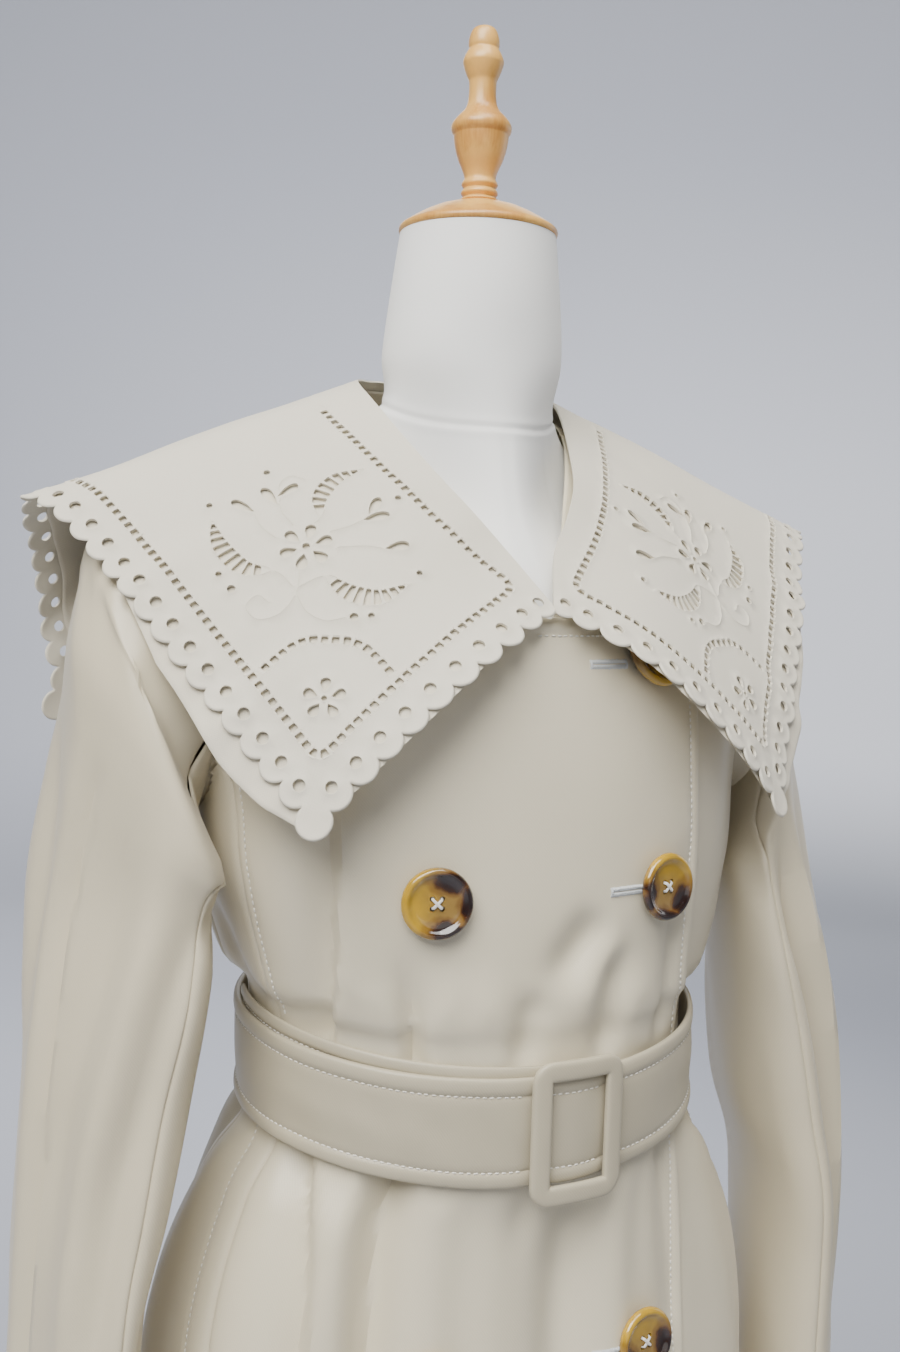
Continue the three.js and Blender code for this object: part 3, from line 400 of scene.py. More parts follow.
# Stitches: short spindles lying in a line on the cloth
def stitches(name, runs, mat, length=2.6, pitch=3.5, width=0.92, height=0.60, jitter=0.12, seed=3):
    """runs: list of (points, normals) in order along each line of stitching."""
    r = np.random.default_rng(seed)
    V, F, n = [], [], 0
    for P, N in runs:
        L = np.concatenate([[0], np.cumsum(np.linalg.norm(np.diff(P, axis=0), axis=1))])
        if L[-1] < length:
            continue
        s = np.arange(pitch * 0.5, L[-1] - length * 0.5, pitch)
        s = s + r.normal(size=len(s)) * jitter
        C = np.stack([np.interp(s, L, P[:, k]) for k in range(3)], 1)
        M = unit(np.stack([np.interp(s, L, N[:, k]) for k in range(3)], 1))
        C2 = np.stack([np.interp(s + 0.5, L, P[:, k]) for k in range(3)], 1)
        C1 = np.stack([np.interp(s - 0.5, L, P[:, k]) for k in range(3)], 1)
        T = unit(C2 - C1)
        B = unit(np.cross(M, T))
        T = unit(T + B * r.normal(size=(len(s), 1)) * 0.05)
        h = length / 2
        ring = [(-0.62, 1, 0.55), (0.62, 1, 0.55)]
        pts = [C - T * h - M * 0.15]
        for a, w, hh in ring:
            for cb, cm in ((1, 0), (0, 1), (-1, 0), (0, -1)):
                pts.append(C + T * h * a + B * (width / 2 * cb) + M * (height * (cm if cm > 0 else 0.6 * cm) + 0.05))
        pts.append(C + T * h - M * 0.15)
        Q = np.stack(pts, 1)                                    # (k, 10, 3)
        k = len(s)
        base = n + np.arange(k)[:, None] * 10
        tri = np.array([(0, 2, 1), (0, 3, 2), (0, 4, 3), (0, 1, 4), (9, 5, 6), (9, 6, 7), (9, 7, 8), (9, 8, 5)])
        quad = np.array([(1, 2, 6, 5), (2, 3, 7, 6), (3, 4, 8, 7), (4, 1, 5, 8)])
        tris = np.concatenate([tri, quad[:, [0, 1, 2]], quad[:, [0, 2, 3]]])
        F.append((base[:, :, None] + tris[None]).reshape(-1, 3))
        V.append(Q.reshape(-1, 3))
        n += k * 10
    return mesh_object(name, np.concatenate(V), np.concatenate(F), mat, None, 0)


# =============================================================================================================
# Materials
# =============================================================================================================
def lin(h):
    c = [int(h[k:k + 2], 16) / 255 for k in (1, 3, 5)]
    return tuple(x / 12.92 if x <= 0.04045 else ((x + 0.055) / 1.055) ** 2.4 for x in c) + (1.0,)


class Nodes:
    """A material's node tree, with short calls for the nodes it uses."""
    def __init__(self, name):
        self.mat = bpy.data.materials.new(name)
        self.mat.use_nodes = True
        self.t = self.mat.node_tree
        self.t.nodes.clear()
        self.out = self.t.nodes.new("ShaderNodeOutputMaterial")
        self.bsdf = self.t.nodes.new("ShaderNodeBsdfPrincipled")
        self.t.links.new(self.bsdf.outputs[0], self.out.inputs[0])

    def node(self, kind, ins=None, **props):
        n = self.t.nodes.new(kind)
        for k, v in props.items():
            setattr(n, k, v)
        for k, v in (ins or {}).items():
            if isinstance(v, bpy.types.NodeSocket):
                self.t.links.new(v, n.inputs[k])
            else:
                n.inputs[k].default_value = v
        return n

    def link(self, a, b):
        self.t.links.new(a, b)

    def math(self, op, a, b=0.0, c=None):
        n = self.node("ShaderNodeMath", {0: a, 1: b}, operation=op)
        if c is not None:
            if isinstance(c, bpy.types.NodeSocket):
                self.t.links.new(c, n.inputs[2])
            else:
                n.inputs[2].default_value = c
        return n.outputs[0]

    def ramp(self, fac, stops, mode="LINEAR"):
        n = self.node("ShaderNodeValToRGB", {0: fac})
        n.color_ramp.interpolation = mode
        e = n.color_ramp.elements
        while len(e) < len(stops):
            e.new(0.5)
        for k, (p, c) in enumerate(stops):
            e[k].position = p
            e[k].color = c if len(c) == 4 else (*c, 1.0)
        return n.outputs[0]

    def mix(self, fac, a, b, blend="MIX"):
        n = self.t.nodes.new("ShaderNodeMix")
        n.data_type, n.blend_type = "RGBA", blend
        for k, v in ((0, fac), (6, a), (7, b)):
            if isinstance(v, bpy.types.NodeSocket):
                self.t.links.new(v, n.inputs[k])
            else:
                n.inputs[k].default_value = v
        return n.outputs[2]

    def set(self, **values):
        for k, v in values.items():
            s = self.bsdf.inputs[k.replace("_", " ")]
            if isinstance(v, bpy.types.NodeSocket):
                self.t.links.new(v, s)
            else:
                s.default_value = v


def cloth_material(name, light, dark, rough=0.5, spec=0.3, sheen=0.2, weave=0.62, twill=True, grain=0.05, bump=0.12, soil=0.5):
    """Woven cloth: warp and weft drawn in the piece's own UV (metres), thread unevenness, slow colour drift and a fine relief. weave is the thread pitch in mm."""
    m = Nodes(name)
    uv = m.node("ShaderNodeTexCoord").outputs["UV"]
    obj = m.node("ShaderNodeTexCoord").outputs["Object"]
    sep = m.node("ShaderNodeSeparateXYZ", {0: uv})
    k = 2 * math.pi * 1000.0 / weave
    u, v = sep.outputs[0], sep.outputs[1]
    wob = m.node("ShaderNodeTexNoise", {"Vector": uv, "Scale": 260.0, "Detail": 1.0})
    if twill:                                                      # diagonal ribs crossed by the weft
        diag = m.math("ADD", m.math("MULTIPLY", u, k * 0.80), m.math("MULTIPLY", v, k * 0.62))
        diag = m.math("ADD", diag, m.math("MULTIPLY", wob.outputs[0], 1.6))
        a = m.math("SINE", diag)
        b = m.math("SINE", m.math("ADD", m.math("MULTIPLY", v, k * 1.5), m.math("MULTIPLY", u, -k * 0.5)))
        threads = m.math("ADD", m.math("MULTIPLY", a, 0.7), m.math("MULTIPLY", b, 0.3))
    else:
        a = m.math("SINE", m.math("ADD", m.math("MULTIPLY", u, k), m.math("MULTIPLY", wob.outputs[0], 1.2)))
        b = m.math("SINE", m.math("MULTIPLY", v, k))
        threads = m.math("MULTIPLY", a, b)
    slub = m.node("ShaderNodeTexNoise", {"Vector": m.node("ShaderNodeMapping", {"Vector": uv, "Scale": (900.0, 170.0, 1.0)}).outputs[0], "Scale": 1.0, "Detail": 2.0})
    fine = m.node("ShaderNodeTexNoise", {"Vector": uv, "Scale": 1150.0, "Detail": 2.0, "Roughness": 0.7})
    drift = m.node("ShaderNodeTexNoise", {"Vector": obj, "Scale": 6.0, "Detail": 3.0, "Roughness": 0.55})
    f = m.math("ADD", m.math("MULTIPLY", threads, 0.5), 0.5)
    f = m.math("ADD", m.math("MULTIPLY", f, 0.45), m.math("MULTIPLY", fine.outputs[0], 0.35))
    f = m.math("ADD", f, m.math("MULTIPLY", slub.outputs[0], 0.22))
    base = m.mix(m.math("MULTIPLY", m.math("SUBTRACT", drift.outputs[0], 0.30), soil), light, dark)
    shade = m.math("ADD", m.math("MULTIPLY", f, 2 * grain), 1.0 - grain)
    comb = m.node("ShaderNodeCombineColor", {0: shade, 1: shade, 2: shade})
    col = m.mix(1.0, base, comb.outputs[0], "MULTIPLY")
    b1 = m.node("ShaderNodeBump", {"Height": f, "Strength": bump, "Distance": 0.0006})
    puck = m.node("ShaderNodeTexNoise", {"Vector": obj, "Scale": 55.0, "Detail": 2.0})
    b2 = m.node("ShaderNodeBump", {"Height": puck.outputs[0], "Strength": 0.10, "Distance": 0.0022, "Normal": b1.outputs[0]})
    m.set(Base_Color=col, Normal=b2.outputs[0])
    m.link(m.math("ADD", m.math("MULTIPLY", fine.outputs[0], 0.10), rough - 0.05), m.bsdf.inputs["Roughness"])
    m.bsdf.inputs["Specular IOR Level"].default_value = spec
    m.bsdf.inputs["Sheen Weight"].default_value = sheen
    m.bsdf.inputs["Sheen Roughness"].default_value = 0.45
    m.bsdf.inputs["Sheen Tint"].default_value = (1.0, 0.98, 0.94, 1.0)
    return m.mat


def thread_material(name, colour, rough=0.55):
    m = Nodes(name)
    obj = m.node("ShaderNodeTexCoord").outputs["Object"]
    n = m.node("ShaderNodeTexNoise", {"Vector": obj, "Scale": 900.0, "Detail": 2.0})
    c = lin(colour)
    dk = tuple(x * 0.80 for x in c[:3]) + (1.0,)
    m.set(Base_Color=m.mix(n.outputs[0], dk, c), Normal=m.node("ShaderNodeBump", {"Height": n.outputs[0], "Strength": 0.3, "Distance": 0.0002}).outputs[0], Roughness=rough)
    m.bsdf.inputs["Sheen Weight"].default_value = 0.3
    m.bsdf.inputs["Specular IOR Level"].default_value = 0.4
    return m.mat


def wood_material(name, honey, deep):
    m = Nodes(name)
    obj = m.node("ShaderNodeTexCoord").outputs["Object"]
    mp = m.node("ShaderNodeMapping", {"Vector": obj, "Scale": (90.0, 90.0, 9.0), "Rotation": (0.05, 0.09, 0.0)})
    ring = m.node("ShaderNodeTexWave", {"Vector": mp.outputs[0], "Scale": 0.55, "Distortion": 3.2, "Detail": 2.0, "Detail Scale": 1.2}, wave_type="RINGS", rings_direction="X")
    fib = m.node("ShaderNodeTexNoise", {"Vector": m.node("ShaderNodeMapping", {"Vector": obj, "Scale": (900.0, 900.0, 45.0)}).outputs[0], "Scale": 1.0, "Detail": 3.0})
    big = m.node("ShaderNodeTexNoise", {"Vector": obj, "Scale": 22.0, "Detail": 2.0})
    f = m.math("ADD", m.math("MULTIPLY", ring.outputs[1], 0.45), m.math("MULTIPLY", fib.outputs[0], 0.35))
    f = m.math("ADD", f, m.math("MULTIPLY", big.outputs[0], 0.25))
    col = m.ramp(f, [(0.15, lin(deep)), (0.5, lin(honey)), (0.95, tuple(min(1, x * 1.18) for x in lin(honey)[:3]))])
    m.set(Base_Color=col, Roughness=m.math("ADD", m.math("MULTIPLY", fib.outputs[0], 0.18), 0.30), Normal=m.node("ShaderNodeBump", {"Height": fib.outputs[0], "Strength": 0.12, "Distance": 0.0005}).outputs[0])
    m.bsdf.inputs["Coat Weight"].default_value = 0.35
    m.bsdf.inputs["Coat Roughness"].default_value = 0.22
    return m.mat


def horn_material(name):
    """Amber horn: a golden side, honey middle and dark brown patches by the rim, in the button's own disc coordinates (UV, -1 to 1, centre 0)."""
    m = Nodes(name)
    uv = m.node("ShaderNodeTexCoord").outputs["UV"]
    warp = m.node("ShaderNodeTexNoise", {"Vector": uv, "Scale": 1.6, "Detail": 2.0})
    wv = m.node("ShaderNodeVectorMath", {0: warp.outputs[1], 1: (0.5, 0.5, 0.5)}, operation="SUBTRACT")
    wv = m.node("ShaderNodeVectorMath", {0: wv.outputs[0], "Scale": 0.55}, operation="SCALE")
    p = m.node("ShaderNodeVectorMath", {0: uv, 1: wv.outputs[0]}, operation="ADD").outputs[0]
    sep = m.node("ShaderNodeSeparateXYZ", {0: p})
    x, y = sep.outputs[0], sep.outputs[1]

    def blob(cx, cy, rx, ry):
        ax = m.math("MULTIPLY", m.math("SUBTRACT", x, cx), 1 / rx)
        ay = m.math("MULTIPLY", m.math("SUBTRACT", y, cy), 1 / ry)
        return m.math("ADD", m.math("MULTIPLY", ax, ax), m.math("MULTIPLY", ay, ay))
    dark = m.math("MINIMUM", m.math("MINIMUM", blob(0.40, 0.62, 0.66, 0.34), blob(0.88, 0.05, 0.30, 0.55)), blob(0.28, -0.72, 0.66, 0.30))
    cloud = m.node("ShaderNodeTexNoise", {"Vector": uv, "Scale": 2.6, "Detail": 3.0, "Roughness": 0.55})
    gold = m.mix(m.ramp(m.math("ADD", m.math("MULTIPLY", x, 0.5), 0.5), [(0.10, (0, 0, 0)), (0.62, (1, 1, 1))], "EASE"), lin("#C9A01E"), lin("#97783A"))
    gold = m.mix(m.math("MULTIPLY", cloud.outputs[0], 0.5), gold, lin("#6E5520"))
    d2 = m.math("MULTIPLY", m.math("ADD", dark, m.math("MULTIPLY", m.math("SUBTRACT", cloud.outputs[0], 0.5), 0.7)), 0.5)
    col = m.mix(m.ramp(d2, [(0.17, (1, 1, 1)), (0.50, (0.5, 0.5, 0.5)), (0.95, (0, 0, 0))], "EASE"), gold, lin("#5C3510"))
    col = m.mix(m.ramp(d2, [(0.07, (1, 1, 1)), (0.48, (0, 0, 0))], "EASE"), col, lin("#1E0D06"))
    m.set(Base_Color=col, Roughness=0.18)
    m.bsdf.inputs["Coat Weight"].default_value = 1.0
    m.bsdf.inputs["Coat Roughness"].default_value = 0.04
    m.bsdf.inputs["Subsurface Weight"].default_value = 0.12
    m.bsdf.inputs["Subsurface Radius"].default_value = (0.004, 0.002, 0.0008)
    m.bsdf.inputs["Subsurface Scale"].default_value = 0.6
    return m.mat


COAT_CLOTH = cloth_material("coat_cloth", lin("#D8CFB7"), lin("#CABFA2"), rough=0.36, spec=0.6, sheen=0.12, weave=1.15, grain=0.06, bump=0.11)
# Painted shade: the belt, its tail and the buckle are of the coat's own cloth; this darker copy stands in for the shade
# on the upright belt.
BELT_CLOTH_PAINTED_SHADE = cloth_material("belt_cloth_painted_shade", lin("#B8AF98"), lin("#A69C82"), rough=0.40, spec=0.5, sheen=0.12, weave=1.15, grain=0.06, bump=0.11)
# Painted shade: the sleeves are of the coat's own cloth; this darker copy stands in for the shade along them.
SLEEVE_CLOTH_PAINTED_SHADE = cloth_material("sleeve_cloth_painted_shade", lin("#CDC3AA"), lin("#BEB294"), rough=0.36, spec=0.6, sheen=0.12, weave=1.15, grain=0.06, bump=0.11)
COLLAR_CLOTH = cloth_material("collar_cloth", lin("#DAD4C4"), lin("#CFC7B4"), rough=0.72, spec=0.22, sheen=0.15, weave=0.95, twill=False, grain=0.05, bump=0.12)
UNDER_CLOTH = cloth_material("under_collar_cloth", lin("#D8D1BF"), lin("#CCC2AC"), rough=0.74, spec=0.2, sheen=0.2, weave=0.95, twill=False, grain=0.05, bump=0.12)
LINEN = cloth_material("form_linen", lin("#F6F6F3"), lin("#EFEFEA"), rough=0.85, spec=0.15, sheen=0.2, weave=1.0, twill=False, grain=0.02, bump=0.05, soil=0.25)
COAT_THREAD = thread_material("coat_thread", "#F3EFE4")
HOLE_THREAD = thread_material("buttonhole_thread", "#D2D5D6", 0.45)
BUTTON_THREAD = thread_material("button_thread", "#F0EEE6")
WOOD = wood_material("form_wood", "#E0AC58", "#BE8034")
HORN = horn_material("button_horn")


def settle(ob, slot, *nodes):
    """Every piece rides on the one body and hides the CAD nodes that it stands for; slot, its finish, is not used."""
    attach(ob, "root")
    if nodes:
        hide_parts(*nodes)
    return ob


# =============================================================================================================
# The coat's panels
# =============================================================================================================
WALL, LAP_DROP, FRONT_EDGE_X, LAP_TOP_Z, SIDE_SEAM = 1.5, 2.0, 93.0, 236.0, 95.0
ARM_Y, ARM_Z, ARM_RY, ARM_RZ = 8.0, 205.0, 58.0, 76.0
PRINCESS = np.array([56, 58, 62, 66, 70, 73, 75, 73, 69, 67, 68, 76, 76, 76, 76], float)
princess = lambda v: np.interp(v, np.arange(15), PRINCESS)
_ev = np.linspace(0, 11, 111)


def _edge_table():
    out = []
    for v in _ev:
        a, b = 0.0, 88.0
        for _ in range(30):
            c = (a + b) / 2
            if series(COAT_T, c, v)[0] < FRONT_EDGE_X:
                a = c
            else:
                b = c
        out.append((a + b) / 2)
    return np.array(out)


_ed = _edge_table()
edge_deg = lambda v: np.interp(np.minimum(v, 11), _ev, _ed)
front_side = lambda v: np.where(v <= 11, princess(v), np.minimum(90, princess(v) + 14 * np.clip(v - 11, 0, 1)))
back_side = lambda v: np.where(v <= 10.2, SIDE_SEAM, 90 + (SIDE_SEAM - 90) * np.clip(1 - (v - 10.2) / 1.4, 0, 1))


def body_panel(name, side, left, right, marks_l, marks_r, step, relief, drop=None, cut_top=None, mid_step=None, v_top=TOP):
    """A panel between two lines of angle. left and right give degrees (on the positive side) at a ring; marks are distances from each border that get their own columns; relief gives how far the face stands out, in mm."""
    vs = np.linspace(0, v_top, 1401)
    Pm = series(COAT_T, (left(vs) + right(vs)) / 2, vs)
    seg = np.linalg.norm(np.diff(Pm, axis=0), axis=1)
    seg = seg * np.where(Pm[1:, 2] > -260, 1.0, 0.5)               # the low part, with few creases, has longer cells
    L = np.concatenate([[0], np.cumsum(seg)])
    rows = np.interp(spaced(L[-1], [0, 0.25, 0.6, 1.2, 2.5], [0, 0.5, 1.2, 2.4], step), L, vs)
    a, b = left(rows), right(rows)
    k = np.linspace(0, 1, 41)
    D = a[:, None] + (b - a)[:, None] * k[None]
    W = np.linalg.norm(np.diff(series(COAT_T, D, rows[:, None] + 0 * D), axis=1), axis=2)
    C = np.concatenate([np.zeros((len(rows), 1)), np.cumsum(W, axis=1)], 1)
    ref = np.median(C[:, -1])
    base = spaced(ref, marks_l, marks_r, mid_step or step)
    nl, nr = sum(1 for x in marks_l if x < ref / 2), sum(1 for x in marks_r if x < ref / 2)
    lo, hi = base[nl - 1], base[len(base) - nr]
    deg = np.zeros((len(rows), len(base)))
    for i in range(len(rows)):
        w = C[i, -1]
        x = base.copy()
        if w < lo + (ref - hi) + 4:                               # a narrow place: squeezed evenly
            x = base * w / ref
        else:
            x[len(base) - nr:] = w - (ref - base[len(base) - nr:])
            m = slice(nl, len(base) - nr)
            x[m] = lo + (base[m] - lo) / (hi - lo) * ((w - (ref - hi)) - lo)
        deg[i] = a[i] + (b[i] - a[i]) * np.interp(x, C[i], k)
    V = rows[:, None] + 0 * deg
    S = side * deg
    P0, N = coat_face(S, V, 0.0)
    l, r, bt, tp = border_lengths(P0)
    h = relief(l, r, bt, tp, P0, S, V)
    d = drop(S, V) if drop is not None else 0.0
    ends = round_edge(np.minimum(np.minimum(l, r), np.minimum(bt, tp)), 1.1, WALL)
    outer = P0 + N * (h + d - ends)[..., None]
    inner = P0 + N * (np.minimum(h, 0.2) + d - WALL + ends)[..., None]
    F = grid_faces(*deg.shape)
    if side * (b[0] - a[0]) < 0:
        F = F[:, ::-1]
    q = outer.reshape(-1, 3)                                      # the armhole: cells inside go, the points next to it move onto it
    rr = np.hypot((q[:, 1] - ARM_Y) / (ARM_RY + 0.3), (q[:, 2] - ARM_Z) / (ARM_RZ + 0.3))
    hole = (rr < 1) & (side * q[:, 0] > 100)
    F = F[~hole[F].all(1)]
    for A in (outer.reshape(-1, 3), inner.reshape(-1, 3)):
        A[hole, 1] = ARM_Y + (A[hole, 1] - ARM_Y) / np.maximum(rr[hole], 0.05)
        A[hole, 2] = ARM_Z + (A[hole, 2] - ARM_Z) / np.maximum(rr[hole], 0.05)
    if cut_top is not None:                                        # beyond centre front the top edge is level
        over = (cut_top * q[:, 0] > 0) & (q[:, 2] > LAP_TOP_Z) & (q[:, 1] < 60)
        F = F[~over[F].all(1)]
        for A in (outer.reshape(-1, 3), inner.reshape(-1, 3)):
            A[over, 2] = LAP_TOP_Z
    ob = shell(name, outer, inner, F, COAT_CLOTH, arc_uv(P0))
    return ob, (rows, deg, l, r, P0, N, h + d)


def line_at(info, side, offset, from_left=True, z0=-1e9, z1=1e9, lift=0.0):
    """The run of points and normals at a distance from a panel's border, for a line of stitching."""
    rows, deg, l, r, P0, N, h = info
    e = l if from_left else r
    outp, outn = [], []
    for i in range(len(rows)):
        x = e[i] if from_left else e[i][::-1]
        o = np.array([np.interp(offset, x, (P0[i, :, k] if from_left else P0[i, ::-1, k])) for k in range(3)])
        n = np.array([np.interp(offset, x, (N[i, :, k] if from_left else N[i, ::-1, k])) for k in range(3)])
        hh = np.interp(offset, x, (h[i] if from_left else h[i][::-1]))
        if z0 <= o[2] <= z1:
            outp.append(o + n * (hh + lift))
            outn.append(n)
    return np.array(outp), np.array(outn)


def groove(e, at, depth=0.45, width=1.0):
    return -depth * np.exp(-((e - at) / width) ** 2)


def puff(e, at, height=0.5):
    return height * np.sin(np.pi * np.clip(e / at, 0, 1)) ** 0.8


def seam_valley(e, depth=0.9, width=1.6):
    return -depth * np.exp(-(e / width) ** 2)


EDGE_MARKS = [0, 0.35, 0.9, 1.8, 3.2, 4.8, 6.0, 6.7, 7.4, 8.4, 10.5, 13.5]
SEAM_MARKS = [0, 0.6, 1.4, 2.6, 4.2, 5.3, 6.0, 6.7, 8.0, 10.5, 13.5]
PLAIN_MARKS = [0, 0.6, 1.4, 2.6, 4.5, 7.5]


def right_front_relief(l, r, b, t, P, S, V):          # l: from the princess seam, r: from the front edge
    up = smooth((P[..., 2] - 30) / 12)
    h = seam_valley(l) + up * (groove(l, 6.0, 0.4) + puff(l, 6.0, 0.35))
    h = h + groove(r, 6.7, 0.5) + puff(r, 6.7, 0.55)
    top = LAP_TOP_Z - P[..., 2] + 0 * S
    m = smooth((P[..., 0] + 14) / 6)                 # its level top edge runs beyond centre front
    h = h + m * (groove(top, 8.0, 0.45, 1.6) + puff(top, 8.0, 0.4) * (top > 0))
    return h


front_right, info_fr = body_panel("front_right", -1, front_side, lambda v: -edge_deg(v), SEAM_MARKS, EDGE_MARKS, 4.2, right_front_relief, cut_top=1, mid_step=4.4)
settle(front_right, "coat_cloth", "front_right")


def left_front_relief(l, r, b, t, P, S, V):
    up = smooth((P[..., 2] - 30) / 12)
    return seam_valley(l) + up * (groove(l, 6.0, 0.4) + puff(l, 6.0, 0.35))


front_left, info_fl = body_panel("front_left", 1, front_side, lambda v: -edge_deg(v), SEAM_MARKS, PLAIN_MARKS, 5.6, left_front_relief,
                                 drop=lambda S, V: -LAP_DROP * smooth((edge_deg(V) + 14 - S) / 10), cut_top=-1, mid_step=6.5)
settle(front_left, "coat_cloth", "front_left")


def side_front_relief(l, r, b, t, P, S, V):           # l: from the princess seam, r: from the side seam
    down = smooth((-24 - P[..., 2]) / 10)
    return seam_valley(l, 1.2, 1.8) + down * (groove(l, 16.5, 0.55) + puff(l, 16.5, 0.5)) + seam_valley(r, 0.6)


SIDE_MARKS = [0, 0.6, 1.4, 2.8, 5.5, 9, 12.5, 15.0, 16.5, 18.0, 21]
info_sf = {}
for sgn, word in ((-1, "right"), (1, "left")):
    ob, info_sf[word] = body_panel(f"side_front_{word}", sgn, princess, lambda v: SIDE_SEAM + 0 * v, SIDE_MARKS, PLAIN_MARKS, 5.0, side_front_relief, mid_step=5.0, v_top=11.1)
    settle(ob, "coat_cloth", f"side_front_{word}")


def back_relief(l, r, b, t, P, S, V):                 # l: from the side seam, r: from centre back
    return seam_valley(l, 0.7) + seam_valley(r, 0.7) + groove(r, 6.0, 0.4) + puff(r, 6.0, 0.3)


info_bk = {}
for sgn, word in ((-1, "right"), (1, "left")):
    ob, info_bk[word] = body_panel(f"back_{word}", sgn, back_side, lambda v: 180.0 + 0 * v, PLAIN_MARKS, SEAM_MARKS, 5.2, back_relief, mid_step=5.4)
    settle(ob, "coat_cloth", f"back_{word}")

# topstitching on the body
runs = [line_at(info_fr, -1, 6.0, True, 30, 195), line_at(info_fr, -1, 6.7, False, -716, LAP_TOP_Z - 8)]
runs += [line_at(info_fl, 1, 6.0, True, 30, 195)]
runs += [line_at(info_sf["right"], -1, 16.5, True, -716, -24), line_at(info_sf["left"], 1, 16.5, True, -716, -24)]
runs += [line_at(info_bk["right"], -1, 6.0, False, -716, 340)]
top_x = np.linspace(-8, FRONT_EDGE_X - 7, 60)


def front_points(xs, z, off):
    out, nn = [], []
    for x in xs:
        d, v = front_place(x if abs(x) > 0.2 else 0.2, z)
        P, N = coat_face(np.array([d]), np.array([v]), off)
        out.append(P[0]), nn.append(N[0])
    return np.array(out), np.array(nn)


runs.append(front_points(top_x, LAP_TOP_Z - 9, 0.0))
body_stitch = stitches("body_topstitching", runs, COAT_THREAD)
settle(body_stitch, "coat_cloth")


# =============================================================================================================
# Sleeves
# =============================================================================================================
# columns: bottom (inner) x and z, top (outer) x and z, half width, centre y, turn, share of the half width at the
# back, lean of the front half; TUCK is how far the lower front quarter is drawn in towards the body
SLEEVE = np.array([
    (159.5, 129, 205, 266, 60, 6, 0, 1, 0.35), (159.5, 126, 210, 246, 68, -1, 2, 0.97, 0.5), (159, 123, 216, 217, 74, -7, 8, 0.95, 0.5),
    (160, 118, 216, 186, 77, -11, 16, 0.93, 0.35), (160, 110, 216, 150, 75, -13, 24, 0.93, 0.12), (158.5, 92, 219.5, 98, 70.5, -12, 26, 0.94, 0),
    (162, 48, 226, 48, 66.5, -16, 25, 0.97, 0), (166, 0, 232, 0, 60, -18, 21, 1, 0), (174, -52, 236, -52, 58.5, -19, 17, 1, 0),
    (187, -105, 238, -105, 60, -21, 15, 1, 0), (190, -200, 240, -200, 58, -22, 15, 1, 0), (191, -300, 241, -300, 56, -22, 15, 1, 0),
], float)
SLEEVE_L = SLEEVE.copy()                                           # the wearer's left sleeve hangs flatter and further back at the top
for _i, _r in enumerate([(199, 58, 8, 0.2), (199, 62, 6, 0.3), (199, 65, 4, 0.3), (201, 67, 1, 0.2), (208, 69, -4, 0.08), (216.5, 68.5, -8, 0), (225, 66.5, -14, 0)]):
    SLEEVE_L[_i, [2, 4, 5, 8]] = _r
SLEEVE[3:7, 0] += [1.5, 3.5, 5, 2]
TUCK = np.array([3, 4, 3, 1, 0, 0, 0, 0, 0, 0, 0, 0], float)
ARM_ROWS = len(SLEEVE) + 2


def coat_x(y, z):
    """The coat's half width at a place on its side."""
    d, v = 90.0, 11.0
    for _ in range(30):
        p = series(COAT_T, d, v)
        pd, pv = (series(COAT_T, d + 0.5, v) - p) * 2, (series(COAT_T, d, v + 0.01) - p) * 100
        ey, ez = y - p[1], z - p[2]
        det = pd[1] * pv[2] - pd[2] * pv[1]
        d, v = d + 0.8 * (ey * pv[2] - ez * pv[1]) / det, v + 0.8 * (pd[1] * ez - pd[2] * ey) / det
    return series(COAT_T, d, v)[0]


_arm_deg = np.arange(-180, 360, 3.0)
_arm_x = np.array([coat_x(ARM_Y + (ARM_RY - 0.9) * math.sin(a * RAD), ARM_Z + (ARM_RZ - 0.9) * math.cos(a * RAD)) for a in _arm_deg])


def sleeve_rings(side, deg):
    """The sleeve's rings at the given angles: 0 is outward or up, 90 the back, -90 the front."""
    c, s = np.cos(np.radians(deg)), np.sin(np.radians(deg))
    out = []
    for extra in (-5, 3):
        out.append(np.stack([side * (np.interp(deg, _arm_deg, _arm_x) + extra), ARM_Y + (ARM_RY - 0.9) * s, ARM_Z + (ARM_RZ - 0.9) * c], -1))
    for (xi, zi, xo, zo, half, y, turn, back, lean), tuck in zip(SLEEVE_L if side > 0 else SLEEVE, TUCK * (0.35 if side > 0 else 1)):
        h, t = math.hypot(xo - xi, zo - zi) / 2, turn * RAD
        w = half * np.where(s > 0, back, 1) * s
        u = h * c + lean * np.minimum(w, 0)
        uu, ww = u * math.cos(t) + w * math.sin(t), -u * math.sin(t) + w * math.cos(t)
        out.append(np.stack([side * ((xi + xo) / 2 + uu * (xo - xi) / (2 * h) - 2 * tuck * np.minimum(s, 0) * np.minimum(c, 0)), y + ww, (zi + zo) / 2 + uu * (zo - zi) / (2 * h)], -1))
    return np.array(out)


def sleeve_row_face(side, deg, rows):
    """Grid of points and normals: rows (ring parameter) by columns (angle)."""
    R = sleeve_rings(side, deg)
    P = mix_rows(R, rows)
    e = 1.5
    A, B = mix_rows(sleeve_rings(side, deg - e), rows), mix_rows(sleeve_rings(side, deg + e), rows)
    r0, r1 = np.maximum(rows - 0.05, 0), np.minimum(rows + 0.05, ARM_ROWS - 1)
    N = unit(np.cross(B - A, mix_rows(R, r1) - mix_rows(R, r0)) * -side)
    flat = np.stack([0 * deg, np.sin(np.radians(deg)) / ARM_RY, np.cos(np.radians(deg)) / ARM_RZ], -1)
    w = smooth((1.6 - rows) / 0.6)[:, None, None]
    return P, unit(N * (1 - w) + unit(flat)[None] * w)


def sleeve_face(side, deg, rows):
    """The same where each row has angles of its own."""
    parts = [sleeve_row_face(side, d, np.array([r])) for d, r in zip(deg, rows)]
    return np.concatenate([p for p, _ in parts]), np.concatenate([n for _, n in parts])


